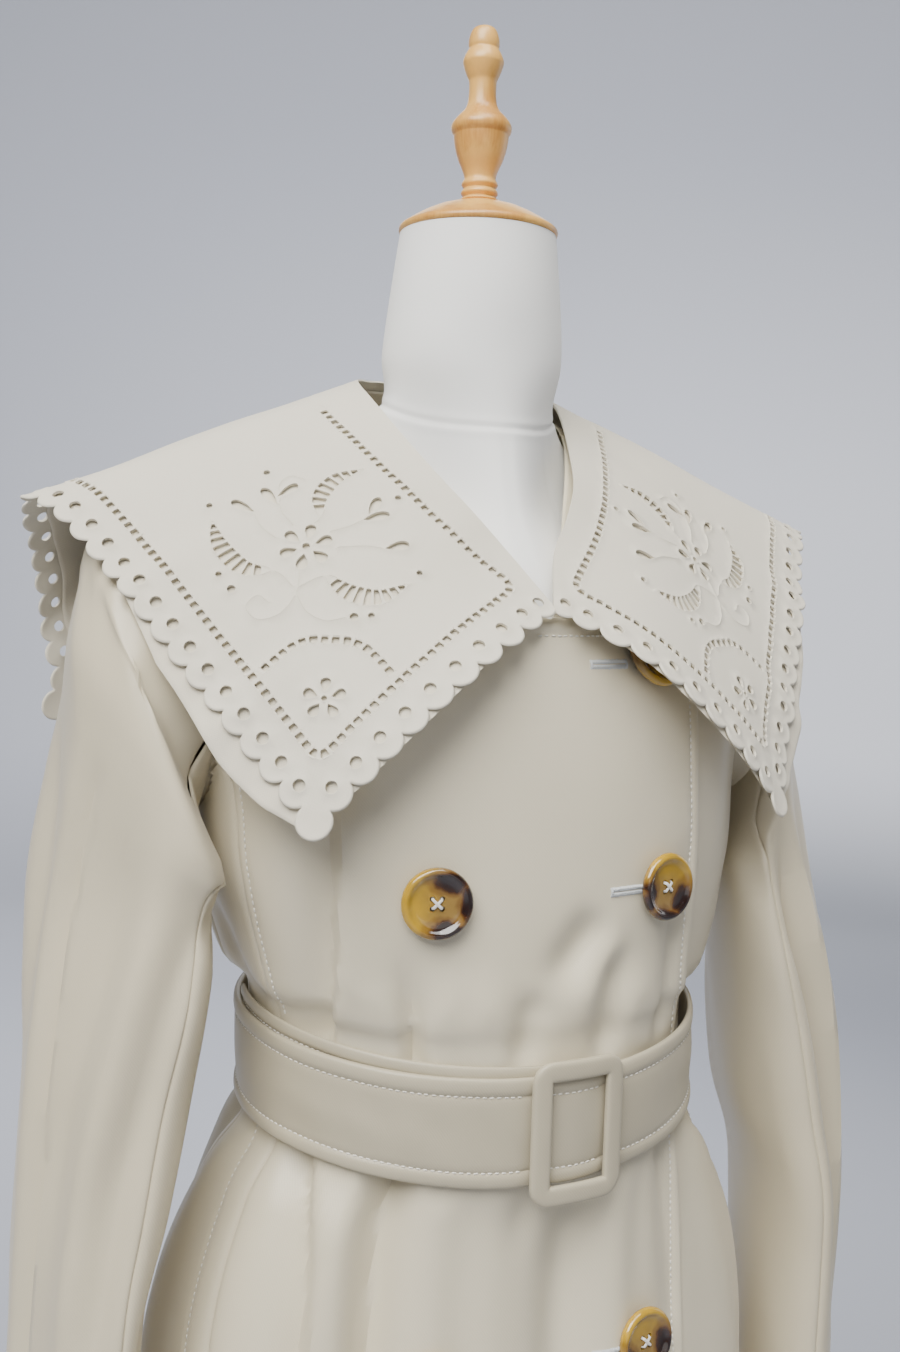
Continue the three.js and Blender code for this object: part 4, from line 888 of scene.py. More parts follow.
def sleeve_line(side, pts):
    """A line on the sleeve through (degrees, height or ring) points; a ring is given as a string such as 'r5'."""
    out = []
    for deg, z in pts:
        R = sleeve_rings(side, np.array([float(deg)]))[:, 0]
        if isinstance(z, str):
            v = float(z[1:])
        else:
            vs = np.linspace(5, ARM_ROWS - 1, 300)
            zz = mix_rows(R, vs)[:, 2]
            v = float(np.interp(-z, -zz, vs))
        out.append(mix_rows(R, np.array([v]))[0])
    return catmull(out)


# columns: line as (degrees, height or ring), depth, width to each side, fades
SLEEVE_CREASES = {
    -1: [
        ([(-62, "r4"), (-58, 160), (-52, 100), (-46, 40), (-42, -30), (-40, -110), (-38, -220)], 2.4, 13, 9, 0.25, 0.35),     # long roll down the front
        ([(-84, "r5"), (-80, 140), (-72, 80), (-64, 10), (-60, -70), (-58, -190)], -2.6, 10, 13, 0.2, 0.35),
        ([(-36, 190), (-28, 120), (-20, 50), (-15, -30), (-14, -140)], -2.0, 12, 12, 0.3, 0.4),
        ([(-17, 192), (-6, 130), (1, 80), (2, 21), (-1, -43), (-1, -123), (-2, -270)], -1.5, 2.2, 5, 0.08, 0.05),              # pressed line near the outer edge
        ([(-6, 190), (6, 130), (14, 80), (15, 21), (13, -43), (12, -123), (12, -270)], 1.3, 8, 10, 0.1, 0.1),
        ([(30, "r4.5"), (34, 150), (36, 60), (34, -40)], -2.0, 14, 11, 0.3, 0.5),
        ([(-116, 118), (-108, 96), (-98, 80), (-90, 70)], -2.0, 7, 7, 0.1, 0.6),                                               # puckers by the underarm
        ([(-128, 96), (-118, 76), (-106, 62)], -1.5, 6, 6, 0.1, 0.6),
        ([(-150, 60), (-140, 44), (-128, 34)], -1.3, 7, 7, 0.2, 0.6),
        ([(-100, 20), (-96, -30), (-92, -110), (-90, -230)], 1.6, 12, 14, 0.3, 0.4),
        ([(-118, -60), (-114, -130), (-112, -240)], -1.6, 11, 11, 0.4, 0.3),
        ([(70, 170), (76, 110), (80, 40), (82, -60)], 1.5, 14, 12, 0.3, 0.4),
        ([(104, 150), (112, 80), (116, 10)], -2.0, 12, 12, 0.2, 0.5),
        ([(150, 20), (156, -50), (160, -140)], 1.6, 13, 13, 0.4, 0.4),
        ([(20, -120), (16, -180), (14, -260)], 1.2, 14, 14, 0.5, 0.3),
        ([(60, -90), (58, -160), (58, -240)], -1.4, 13, 13, 0.5, 0.3),
    ],
    1: [
        ([(-66, "r5"), (-64, 120), (-58, 60), (-52, 0), (-47, -80), (-42, -200)], -5.0, 5, 12, 0.25, 0.35),                    # long fold
        ([(-54, "r4.5"), (-52, 120), (-46, 60), (-40, 0), (-36, -80), (-32, -200)], 3.0, 11, 8, 0.3, 0.35),
        ([(-92, 130), (-88, 60), (-80, -20), (-76, -110), (-72, -220)], 2.2, 12, 12, 0.3, 0.35),
        ([(-30, "r5"), (-26, 120), (-20, 40), (-18, -40), (-18, -160)], -2.2, 12, 12, 0.3, 0.4),
        ([(-18, "r4"), (-12, 150), (-6, 60), (-4, -50), (-4, -160)], 2.0, 14, 15, 0.3, 0.4),
        ([(22, "r4.5"), (26, 120), (28, 20), (28, -90)], -1.8, 13, 13, 0.3, 0.5),
        ([(-112, 110), (-104, 84), (-96, 66)], -1.6, 7, 7, 0.1, 0.6),
        ([(-106, 30), (-104, -40), (-100, -140)], 1.6, 12, 12, 0.4, 0.4),
        ([(58, 160), (62, 90), (64, 0)], 1.6, 14, 13, 0.3, 0.5),
        ([(92, 140), (98, 70), (102, -10)], -2.0, 13, 12, 0.2, 0.5),
        ([(140, 60), (146, -20), (150, -110)], 1.7, 13, 13, 0.4, 0.4),
        ([(46, -110), (44, -180), (42, -260)], -1.4, 13, 13, 0.5, 0.3),
        ([(0, -170), (2, -230), (3, -290)], 1.2, 14, 14, 0.5, 0.2),
    ],
}
SLEEVE_SEAM_F, SLEEVE_SEAM_B = -86.0, 105.0


def sleeve_piece(side, word, part):
    a, b = (SLEEVE_SEAM_F, SLEEVE_SEAM_B) if part == "upper" else (SLEEVE_SEAM_B, SLEEVE_SEAM_F + 360)
    ref_z = mix_rows(sleeve_rings(side, np.array([(a + b) / 2])), np.linspace(0, ARM_ROWS - 1, 1201))[:, 0]
    L = np.concatenate([[0], np.cumsum(np.linalg.norm(np.diff(ref_z, axis=0), axis=1))])
    step = 4.6 if part == "upper" else 6.0
    rows = np.interp(spaced(L[-1], [0, 1.2], [0, 0.5, 1.2, 2.4, 5], step), L, np.linspace(0, ARM_ROWS - 1, 1201))
    k = np.linspace(a, b, 61)
    mid = mix_rows(sleeve_rings(side, k), np.array([7.0]))[0]
    C = np.concatenate([[0], np.cumsum(np.linalg.norm(np.diff(mid, axis=0), axis=1))])
    deg = np.interp(spaced(C[-1], PLAIN_MARKS, PLAIN_MARKS, step), C, k)
    swing = 26.0 * smooth((7.0 - rows) / 2.5)[:, None]                # the front seam runs under the arm at the top
    deg = deg[None, :] - swing * ((b - deg) / (b - a) if part == "upper" else (deg - a) / (b - a))[None, :]
    P0, N = sleeve_face(side, deg, rows)
    lines = [(sleeve_line(side, l), d * (2.8 if d < 0 else 2.1), *rest) for l, d, *rest in SLEEVE_CREASES[side]]
    fade = smooth((rows - 1.5) / 1.5)[:, None]
    d = (crease_field(P0.reshape(-1, 3), N.reshape(-1, 3), lines).reshape(P0.shape[:2]) + ripple(P0, 0.6, 21 + side)) * fade
    if part == "upper":                                            # the head is eased in: small puckers round the top of the armhole
        ease = np.exp(-((rows - 2.5) / 0.9) ** 2)[:, None] * np.clip(np.cos(np.radians(deg)) + 0.2, 0, 1)
        d = d + 0.5 * ease * np.sin(np.radians(deg) * 17 + 0.6 * np.sin(np.radians(deg) * 5))
    P1 = P0 + N * d[..., None]
    l, r, bt, tp = border_lengths(P1)
    h = seam_valley(l, 0.8, 2.0) + seam_valley(r, 0.8, 2.0)
    hem = tp[..., :]                                               # the cuff end is the last row
    h = h + groove(hem, 26.0, 0.35, 1.2) + puff(hem, 26.0, 0.3)
    ends = round_edge(np.minimum(np.minimum(l, r), np.minimum(bt, tp)), 1.1, WALL)
    outer = P1 + N * (h - ends)[..., None]
    inner = P1 + N * (np.minimum(h, 0.2) - WALL + ends)[..., None]
    F = grid_faces(*P1.shape[:2])
    if side > 0:
        F = F[:, ::-1]
    ob = shell(f"sleeve_{part}_{word}", outer, inner, F, SLEEVE_CLOTH_PAINTED_SHADE, arc_uv(P1))
    settle(ob, "coat_cloth", f"sleeve_{part}_{word}")
    return ob, (P1, N, h, l, r, tp)


info_sl = {}
for sgn, word in ((-1, "right"), (1, "left")):
    for part in ("upper", "under"):
        ob, info_sl[part, word] = sleeve_piece(sgn, word, part)


# =============================================================================================================
# Belt, its tail and the buckle
# =============================================================================================================
BELT_H, BELT_CLEAR, BELT_T = 52.4, 4.2, 2.8
TAIL_CLEAR, TAIL_T = 1.8, 1.6
BUCKLE_DEG, BUCKLE_W, BUCKLE_H, BUCKLE_BAR, BUCKLE_T, BUCKLE_CORNER = 5.0, 51.0, 72.0, 10.0, 4.4, 10.0
belt_v = lambda h: 6 + np.where(h < 0, h / 30, h / 39)


def belt_profile(w, half, stitch, puffed):
    """How far the belt's face stands out at a distance w from its middle."""
    e = half - np.abs(w)
    return puff(e, stitch, puffed) + groove(e, stitch, 0.55, 0.9)


def strap(name, deg, width_rows, centre, base, thick, stitch, stand, ring, mat, half, bottom_v=None):
    """A strap on the coat's face. deg: columns; width_rows: distance from its middle; centre(deg): height of its middle; base: clearance."""
    h = centre(deg)[None, :] + width_rows[:, None]
    D = deg[None, :] + 0 * h
    V = belt_v(h)
    P, N = series(COAT_T, D, V), normals_of(COAT_T, D, V)
    fold = soft_folds(D, V)
    w = width_rows[:, None] + 0 * h
    prof = belt_profile(w, half, stitch, 0.8)
    seg = np.linalg.norm(np.diff(P[len(width_rows) // 2], axis=0), axis=1)
    s = np.concatenate([[0], np.cumsum(seg)])
    top = base + thick + prof + fold + stand(D, w, s[None, :] + 0 * w)
    low = base + fold + 0 * prof + 0 * w
    e = half - np.abs(w)
    ends = round_edge(e, 1.3, thick)
    outer = P + N * (top - ends)[..., None]
    inner = P + N * (low + ends)[..., None]
    F = grid_faces(len(width_rows), len(deg), ring)
    uv = np.stack([s[None, :] + 0 * w, w], -1) / 1000
    return outer, inner, F, uv, (P, N, top)


_e = np.array([0, 0.3, 0.8, 1.6, 3, 5, 6.8, 7.8, 8.5, 9.2, 10.4, 13, 16.5, 20, 23.5])
belt_rows = np.concatenate([-BELT_H / 2 + _e, [0], (BELT_H / 2 - _e)[::-1]])


def belt_stand(D, w, s):
    """Small wrinkles along the belt; it is drawn through the buckle, pressed down under both bars and swelling between
    them.
    """
    r = 0.32 * np.sin(s / 7.3 + 1.4 * np.sin(s / 31) + w * 0.05) * np.exp(-((w - 4 * np.sin(s / 23)) / 11) ** 2) * (0.5 + 0.5 * np.sin(s / 47 + 1))
    r = r + 0.6 * np.sin(s / 15 + w / 12 + 1.2 * np.sin(s / 41)) * np.sin(s / 61 + 2) + 0.5 * np.sin(w / 5.5 + s / 26 + 1.5 * np.sin(s / 53)) * np.exp(-(w / 15) ** 2) * (0.5 + 0.5 * np.sin(s / 33)) + 0.35 * np.sin(s / 4.1 + w * 0.1) * np.exp(-(w / 9) ** 2) * np.clip(np.sin(s / 37), 0, 1)
    x = series(COAT_T, D, 6 + 0 * D)[..., 0] - series(COAT_T, BUCKLE_DEG, 6.0)[0]
    front = np.abs(D) < 60
    under = np.exp(-((np.abs(x) - 21) / 6.5) ** 2) * front                 # pressed down under both bars
    swell = np.exp(-(x / 12.0) ** 2) * front
    return r - 1.1 * under + 1.1 * swell


deg_b = np.unique(np.concatenate([np.linspace(-180, 180, 217)[:-1], np.linspace(-14, 24, 61)]))
outer, inner, F, uv, belt_info = strap("belt", deg_b, belt_rows, lambda d: 0 * d, BELT_CLEAR, BELT_T, 8.5, belt_stand, True, COAT_CLOTH, BELT_H / 2)
V_, F_, used = shell_arrays(outer.reshape(-1, 3), inner.reshape(-1, 3), F)
belt = mesh_object("belt", V_, F_, BELT_CLOTH_PAINTED_SHADE, np.concatenate([uv.reshape(-1, 2)[used]] * 2))
settle(belt, "coat_cloth", "belt")

a_t, b_t = -98.0, -98 + 13 * 360 / 44
half_t = 25.0
deg_t = np.interp(np.linspace(0, 1, 71), [0, 1], [a_t, b_t])
_e = np.array([0, 0.3, 0.8, 1.6, 3, 5, 6.4, 7.2, 7.8, 8.6, 10.4, 14, 19])
tail_rows = np.concatenate([-half_t + _e, [0], (half_t - _e)[::-1]])
tail_stand = lambda D, w, s: 0.35 * np.sin(s / 21 + w / 15) + 0.2 * np.sin(s / 8 + 2) * np.exp(-((w - 14) / 8) ** 2)
outer, inner, F, uv, tail_info = strap("belt_tail", deg_t, tail_rows, lambda d: 9 - 4 * (d - a_t) / (b_t - a_t), TAIL_CLEAR, TAIL_T, 7.8, tail_stand, False, COAT_CLOTH, half_t)
belt_tail = shell("belt_tail", outer, inner, F, BELT_CLOTH_PAINTED_SHADE, uv)
settle(belt_tail, "coat_cloth", "belt_tail")


def strap_runs(info, rows, half, stitch, cut=None):
    P, N, top = info
    out = []
    for sgn in (-1, 1):
        w = sgn * (half - stitch)
        k = int(np.argmin(np.abs(rows - w)))
        q = P[k] + N[k] * (top[k] + 0.05)[:, None]
        n = N[k]
        if cut is None:
            out.append((q, n))
        else:
            m = cut(q)
            idx = np.where(m)[0]
            for part in np.split(idx, np.where(np.diff(idx) > 1)[0] + 1):
                if len(part) > 3:
                    out.append((q[part], n[part]))
    return out


c0 = series(COAT_T, BUCKLE_DEG, 6.0)
n0 = normals_of(COAT_T, np.array([BUCKLE_DEG]), np.array([6.0]))[0]
up0 = unit(np.array([0, 0, 1.0]) - n0 * n0[2])
ax0 = np.cross(up0, n0)
in_plane = lambda q: ((q - c0) @ ax0, (q - c0) @ up0)


def off_bars(q):
    u = in_plane(q)[0]
    front = q[:, 1] < -60
    return ~(front & (np.abs(np.abs(u) - 20.5) < 5.5))


belt_stitch = stitches("belt_topstitching", strap_runs(belt_info, belt_rows, BELT_H / 2, 8.5, off_bars) + strap_runs(tail_info, tail_rows, half_t, 7.8), COAT_THREAD, seed=5)
settle(belt_stitch, "coat_cloth")


def buckle_mesh():
    hw, hh, r = BUCKLE_W / 2 - BUCKLE_BAR / 2, BUCKLE_H / 2 - BUCKLE_BAR / 2, BUCKLE_CORNER - BUCKLE_BAR / 2
    path = []
    for cx, cy, a0 in ((hw - r, hh - r, 0), (-hw + r, hh - r, 90), (-hw + r, -hh + r, 180), (hw - r, -hh + r, 270)):
        for k in range(9):
            a = (a0 + 90 * k / 8) * RAD
            path.append((cx + r * math.cos(a), cy + r * math.sin(a), math.cos(a), math.sin(a)))
    full = []
    for k, p in enumerate(path):
        full.append(p)
        q = path[(k + 1) % len(path)]
        d = math.hypot(q[0] - p[0], q[1] - p[1])
        n = int(d / 2.2)
        for m in range(1, n):
            full.append(tuple(p[i] + (q[i] - p[i]) * m / n for i in range(4)))
    full = np.array(full)
    nd = unit(full[:, 2:])
    ang = np.linspace(0, 2 * np.pi, 29)[:-1]
    # cushioned section: flat back, soft bevels, a nearly flat face
    sx = np.sign(np.cos(ang)) * np.abs(np.cos(ang)) ** 0.55
    sy = np.sign(np.sin(ang)) * np.abs(np.sin(ang)) ** 0.75
    sy = np.where(sy < 0, sy * 0.5, sy * 0.5)
    rng = np.random.default_rng(8)
    s = np.concatenate([[0], np.cumsum(np.linalg.norm(np.diff(full[:, :2], axis=0), axis=1))])
    wob = 0.12 * np.sin(s / 5.3) + 0.10 * np.sin(s / 2.9 + 1)
    P = np.zeros((len(full), len(ang), 3))
    for j in range(len(ang)):
        u = full[:, 0] + sx[j] * BUCKLE_BAR / 2 * nd[:, 0]
        w = full[:, 1] + sx[j] * BUCKLE_BAR / 2 * nd[:, 1]
        hgt = sy[j] * BUCKLE_T * (1 + (0.05 * wob if sy[j] > 0 else 0)) + BELT_CLEAR + BELT_T + 0.9 + BUCKLE_T / 2 - u * u / 300
        P[:, j] = c0 + ax0 * u[:, None] + up0 * w[:, None] + n0 * hgt[:, None]
    n, m = len(full), len(ang)
    i, j = np.meshgrid(np.arange(n), np.arange(m), indexing="ij")
    F = np.stack([i * m + j, ((i + 1) % n) * m + j, ((i + 1) % n) * m + (j + 1) % m, i * m + (j + 1) % m], -1).reshape(-1, 4)
    flatuv = np.stack([(P - c0) @ ax0, (P - c0) @ up0], -1).reshape(-1, 2) / 1000
    V = P.reshape(-1, 3)
    vol = 0.0
    tri = np.concatenate([F[:, [0, 1, 2]], F[:, [0, 2, 3]]])
    Q = V - V.mean(0)
    vol = np.einsum("ij,ij->", Q[tri[:, 0]], np.cross(Q[tri[:, 1]], Q[tri[:, 2]]))
    if vol < 0:
        F = F[:, ::-1]
    return mesh_object("buckle", V, F, BELT_CLOTH_PAINTED_SHADE, flatuv, 60)


buckle = settle(buckle_mesh(), "coat_cloth", "buckle")


# =============================================================================================================
# Buttons, their thread and the buttonholes
# =============================================================================================================
BUTTON_D, BUTTON_T, HOLE_R, HOLE_PCR = 34.7, 5.2, 1.3, 3.4
BUTTONS = [("button_top_left", 61, 215, 250), ("button_mid_right", -60, 101, 0), ("button_mid_left", 64, 101, 100), ("button_low_right", -58, -135, 40), ("button_low_left", 59, -135, 75)]


def button_solid(turn):
    """A dished disc with a raised rim, four drilled holes; returns points, faces and disc coordinates."""
    r, t = BUTTON_D / 2, BUTTON_T
    prof = [(0.0, 0.0), (r * 0.80, 0), (r * 0.90, 0.25), (r * 0.965, 0.9), (r, 2.1), (r * 0.998, 3.0), (r * 0.975, 4.0), (r * 0.94, 4.75), (r * 0.90, 5.12), (r * 0.865, 5.2), (r * 0.83, 5.05),
            (r * 0.79, 4.55), (r * 0.75, 3.9), (r * 0.71, 3.42), (r * 0.66, 3.16), (r * 0.58, 3.02), (r * 0.46, 2.92), (r * 0.34, 2.86)]
    seg = 72
    a = np.linspace(0, 2 * np.pi, seg, endpoint=False)
    V, F = [], []
    for pr, ph in prof[1:]:
        V.append(np.stack([pr * np.cos(a), pr * np.sin(a), np.full(seg, ph)], 1))
    k = len(prof) - 1
    V = np.concatenate(V)
    for i in range(k - 1):
        j = np.arange(seg)
        F.append(np.stack([i * seg + j, i * seg + (j + 1) % seg, (i + 1) * seg + (j + 1) % seg, (i + 1) * seg + j], 1))
    # middle of the dish and of the underside, with the four holes
    holes = [(u * HOLE_PCR / math.sqrt(2), w * HOLE_PCR / math.sqrt(2)) for u, w in ((1, 1), (1, -1), (-1, 1), (-1, -1))]
    rt, rb = prof[-1][0], prof[1][0]
    hs = 20
    ha = np.linspace(0, 2 * np.pi, hs, endpoint=False)
    tris = []
    extra, n = [], len(V)

    def disc(radius, z, start, up):
        nonlocal n
        ring = [Vector((radius * math.cos(x), radius * math.sin(x))) for x in a]
        pts, edges, groups = list(ring), [(i, (i + 1) % seg) for i in range(seg)], []
        for hx, hy in holes:
            m = len(pts)
            pts += [Vector((hx + HOLE_R * math.cos(x), hy + HOLE_R * math.sin(x))) for x in ha]
            edges += [(m + i, m + (i + 1) % hs) for i in range(hs)]
        for rr in (radius * 0.75, radius * 0.5):
            pts += [Vector((rr * math.cos(x), rr * math.sin(x))) for x in np.linspace(0, 2 * np.pi, 24, endpoint=False) if all(math.hypot(rr * math.cos(x) - hx, rr * math.sin(x) - hy) > HOLE_R + 0.5 for hx, hy in holes)]
        res = delaunay_2d_cdt(pts, edges, [], 0, 1e-6)
        vs, fs, orig = res[0], res[2], res[3]
        ids = []
        for q, o in zip(vs, orig):
            if o and o[0] < seg:
                ids.append(start + o[0])
            else:
                extra.append((q.x, q.y, z))
                ids.append(n)
                n += 1
        hole_ids = [None] * (4 * hs)
        for q, o in enumerate(orig):
            for w in o:
                if seg <= w < seg + 4 * hs:
                    hole_ids[w - seg] = ids[q]
        for f in fs:
            cx, cy = sum(vs[i].x for i in f) / 3, sum(vs[i].y for i in f) / 3
            if any(math.hypot(cx - hx, cy - hy) < HOLE_R for hx, hy in holes):
                continue
            g = [ids[i] for i in f]
            area = (vs[f[1]].x - vs[f[0]].x) * (vs[f[2]].y - vs[f[0]].y) - (vs[f[2]].x - vs[f[0]].x) * (vs[f[1]].y - vs[f[0]].y)
            if (area > 0) != up:
                g = g[::-1]
            tris.append(g)
        return hole_ids
    low = disc(rb, 0.0, 0, False)
    top = disc(rt, prof[-1][1], (k - 1) * seg, True)
    wall_q = []
    for h in range(4):
        for i in range(hs):
            p, q = h * hs + i, h * hs + (i + 1) % hs
            wall_q.append((top[p], top[q], low[q], low[p]))
    V = np.concatenate([V, np.array(extra)])
    Fq = np.concatenate(F + [np.array(wall_q)])
    uv = V[:, :2] / r
    c, s = math.cos(turn * RAD), math.sin(turn * RAD)
    uv = np.stack([uv[:, 0] * c - uv[:, 1] * s, uv[:, 0] * s + uv[:, 1] * c], 1)
    return V, [Fq, np.array(tris)], uv


def on_face(x, z, lift):
    d, v = front_place(x, z)
    p = series(COAT_T, d, v)
    n = normals_of(COAT_T, np.array([d]), np.array([v]))[0]
    zax = unit(n)
    yax = unit(np.array([0, 0, 1.0]) - zax * zax[2])
    xax = np.cross(yax, zax)
    return p + n * lift, np.stack([xax, yax, zax])


thread_V, thread_F, thread_n = [], [], 0


def tube(path, radius, seg=8, ends=True):
    """Points and faces of a round thread along a path."""
    P = np.asarray(path, float)
    T = unit(np.gradient(P, axis=0))
    ref = np.array([0.0, 0, 1]) if abs(T[0][2]) < 0.9 else np.array([1.0, 0, 0])
    A = unit(np.cross(T, ref))
    B = np.cross(T, A)
    R = np.broadcast_to(np.asarray(radius, float), (len(P),))
    ang = np.linspace(0, 2 * np.pi, seg, endpoint=False)
    V = (P[:, None] + (A[:, None] * np.cos(ang)[None, :, None] + B[:, None] * np.sin(ang)[None, :, None]) * R[:, None, None]).reshape(-1, 3)
    F = grid_faces(len(P), seg, True)
    V = np.concatenate([V, P[:1], P[-1:]])
    j = np.arange(seg)
    c0_, c1_ = len(P) * seg, len(P) * seg + 1
    T1 = np.stack([j, (j + 1) % seg, np.full(seg, c0_)], 1)
    T2 = np.stack([(len(P) - 1) * seg + (j + 1) % seg, (len(P) - 1) * seg + j, np.full(seg, c1_)], 1)
    F = np.concatenate([F[:, [0, 1, 2]], F[:, [0, 2, 3]], T1, T2])
    return V, F


class Many:
    """Many small meshes gathered into one piece."""
    def __init__(self):
        self.V, self.F, self.n = [], [], 0

    def add(self, V, F):
        self.V.append(V)
        self.F.append(np.asarray(F) + self.n)
        self.n += len(V)

    def build(self, name, mat, angle=60):
        V, F = np.concatenate(self.V), np.concatenate(self.F)
        Q = V[F]
        return mesh_object(name, V, F, mat, V[:, [0, 2]] / 1000, angle)


threads = Many()
for name, x, z, turn in BUTTONS:
    V, F, uv = button_solid(turn)
    o, M = on_face(x, z, 2.4 + (0.6 if z < 0 else 0))
    # the disc lies square on the coat's face; turn only turns its horn pattern
    ob = mesh_object(name, o + V @ M, F, HORN, uv, 35)
    settle(ob, "button_horn", name)
    dish = 2.86
    c = HOLE_PCR / math.sqrt(2)
    rng = np.random.default_rng(abs(x) + 7)
    for sgn in (1, -1):
        for k in range(3):
            off = (k - 1) * 0.42
            dx, dy = 1 / math.sqrt(2), sgn / math.sqrt(2)
            px, py = -dy * off, dx * off
            t = np.linspace(-1, 1, 13)
            hgt = dish + 0.55 + (0.35 if sgn < 0 else 0) + 0.25 * (1 - t ** 2) + (k % 2) * 0.12
            hgt = np.where(np.abs(t) > 0.93, dish - 1.0, hgt)
            pts = np.stack([t * c * (1 if True else 0) * 1.0 + px, t * c * sgn + py, hgt], 1)
            pts[:, :2] += rng.normal(size=2) * 0.06
            tv, tf = tube(pts, 0.33, 7)
            threads.add(o + tv @ M, tf)
    tv, tf = tube(np.array([[0, 0, -2.2], [0, 0, -1.0], [0, 0, 0.2]]) + [0, 0, 0.0], [2.0, 1.6, 1.9], 14)     # shank of wound thread
    threads.add(o + tv @ M, tf)
button_threads = settle(threads.build("button_threads", BUTTON_THREAD), "coat_cloth")

# Buttonholes: two dense rows of satin bars either side of a slit, wider at the bars' ends
holes = Many()
HOLES = [(22.6, 44.0, 213.0), (33.0, 53.0, 100.5), (30.0, 50.0, -136.0), (-90.0, -70.0, -134.0)]
for x0, x1, z in HOLES[:3]:
    rng = np.random.default_rng(int(abs(z)))
    xs = np.arange(x0, x1, 0.62)
    for row in (1, -1):
        for x in xs:
            (a,), (na,) = (lambda r: (r[0], r[1]))(front_points([x + rng.normal() * 0.05], z + row * 0.35, 0.3))
            (b,), (nb,) = (lambda r: (r[0], r[1]))(front_points([x + rng.normal() * 0.08], z + row * (2.25 + rng.normal() * 0.12), 0.0))
            m = (a + b) / 2 + na * 0.42
            tv, tf = tube(catmull([a - na * 0.2, m, b - nb * 0.25], 3), 0.36, 5)
            holes.add(tv, tf)
    for x in (x0 - 0.6, x1 + 0.3):
        for k in range(3):
            a, na = front_points([x + (k - 1) * 0.35], z - 2.3, -0.1)
            b, nb = front_points([x + (k - 1) * 0.35], z + 2.3, -0.1)
            tv, tf = tube(catmull([a[0], (a[0] + b[0]) / 2 + na[0] * 0.75, b[0]], 4), 0.36, 6)
            holes.add(tv, tf)
buttonholes = settle(holes.build("buttonholes", HOLE_THREAD), "coat_cloth")


# =============================================================================================================
# Dress form: linen body, turned wooden cap, finial, pole and base
# =============================================================================================================
def closed_lathe(name, prof, centre, mat, seg=96, uv_scale=1.0, angle=40):
    """A turned solid from (radius, height) pairs running up its outside; closed by a centre point at each end."""
    prof = np.asarray(prof, float)
    a = np.linspace(0, 2 * np.pi, seg, endpoint=False)
    V = np.concatenate([np.stack([r * np.cos(a), r * np.sin(a), np.full(seg, h)], 1) for r, h in prof])
    F = grid_faces(len(prof), seg, True)
    n = len(V)
    V = np.concatenate([V, [[0, 0, prof[0][1]], [0, 0, prof[-1][1]]]])
    j = np.arange(seg)
    T1 = np.stack([(j + 1) % seg, j, np.full(seg, n)], 1)
    b = (len(prof) - 1) * seg
    T2 = np.stack([b + j, b + (j + 1) % seg, np.full(seg, n + 1)], 1)
    return mesh_object(name, V + np.asarray(centre, float), [F, np.concatenate([T1, T2])], mat, V[:, [0, 2]] / 1000, angle)


def spline_profile(pts, per=6):
    return mix_rows(np.asarray(pts, float), np.linspace(0, len(pts) - 1, per * (len(pts) - 1) + 1))


def form_mesh():
    deg = np.arange(0, 360, 3.0)
    v = np.concatenate([np.linspace(0, 6, 31)[:-1], np.linspace(6, 8.8, 29)[:-1], np.linspace(8.8, 9.3, 15)[:-1], np.linspace(9.3, 12, 32)])
    D, V = np.meshgrid(deg, v)
    P, N = series(FORM_T, D, V), normals_of(FORM_T, D, V)
    z_seam = series(FORM_T, D, 9.03 + 0 * V)[..., 2]
    e = P[..., 2] - z_seam
    h = -0.75 * np.exp(-(e / 1.1) ** 2) + 0.35 * np.exp(-((e + 3.2) / 2.2) ** 2) + 0.2 * np.exp(-((e - 3.0) / 2.2) ** 2)
    dd = (D + 180) % 360 - 180
    arc = lambda at: np.hypot(P[..., 0], P[..., 1]) * np.radians((D - at + 180) % 360 - 180)
    low = smooth((-e) / 3)
    for at in (0, 42, 138, 180, 222, 318):
        x = arc(at)
        w = low if at != 180 else 1.0
        h = h + w * (-0.45 * np.exp(-(x / 1.5) ** 2) + 0.15 * np.exp(-((np.abs(x) - 4) / 2.5) ** 2))
    P = P + N * h[..., None]
    n = P.shape[0] * P.shape[1]
    F = grid_faces(*D.shape, True)
    Vv = np.concatenate([P.reshape(-1, 3), P[0].mean(0)[None], P[-1].mean(0)[None]])
    m = len(deg)
    j = np.arange(m)
    T1 = np.stack([(j + 1) % m, j, np.full(m, n)], 1)
    b = (len(v) - 1) * m
    T2 = np.stack([b + j, b + (j + 1) % m, np.full(m, n + 1)], 1)
    uv = np.stack([np.radians(dd) * 60, P[..., 2]], -1).reshape(-1, 2) / 1000
    uv = np.concatenate([uv, [[0, 0], [0, 0]]])
    return mesh_object("form_body", Vv, [F, np.concatenate([T1, T2])], LINEN, uv, 50)


form_body = settle(form_mesh(), "form_linen", "form_body")

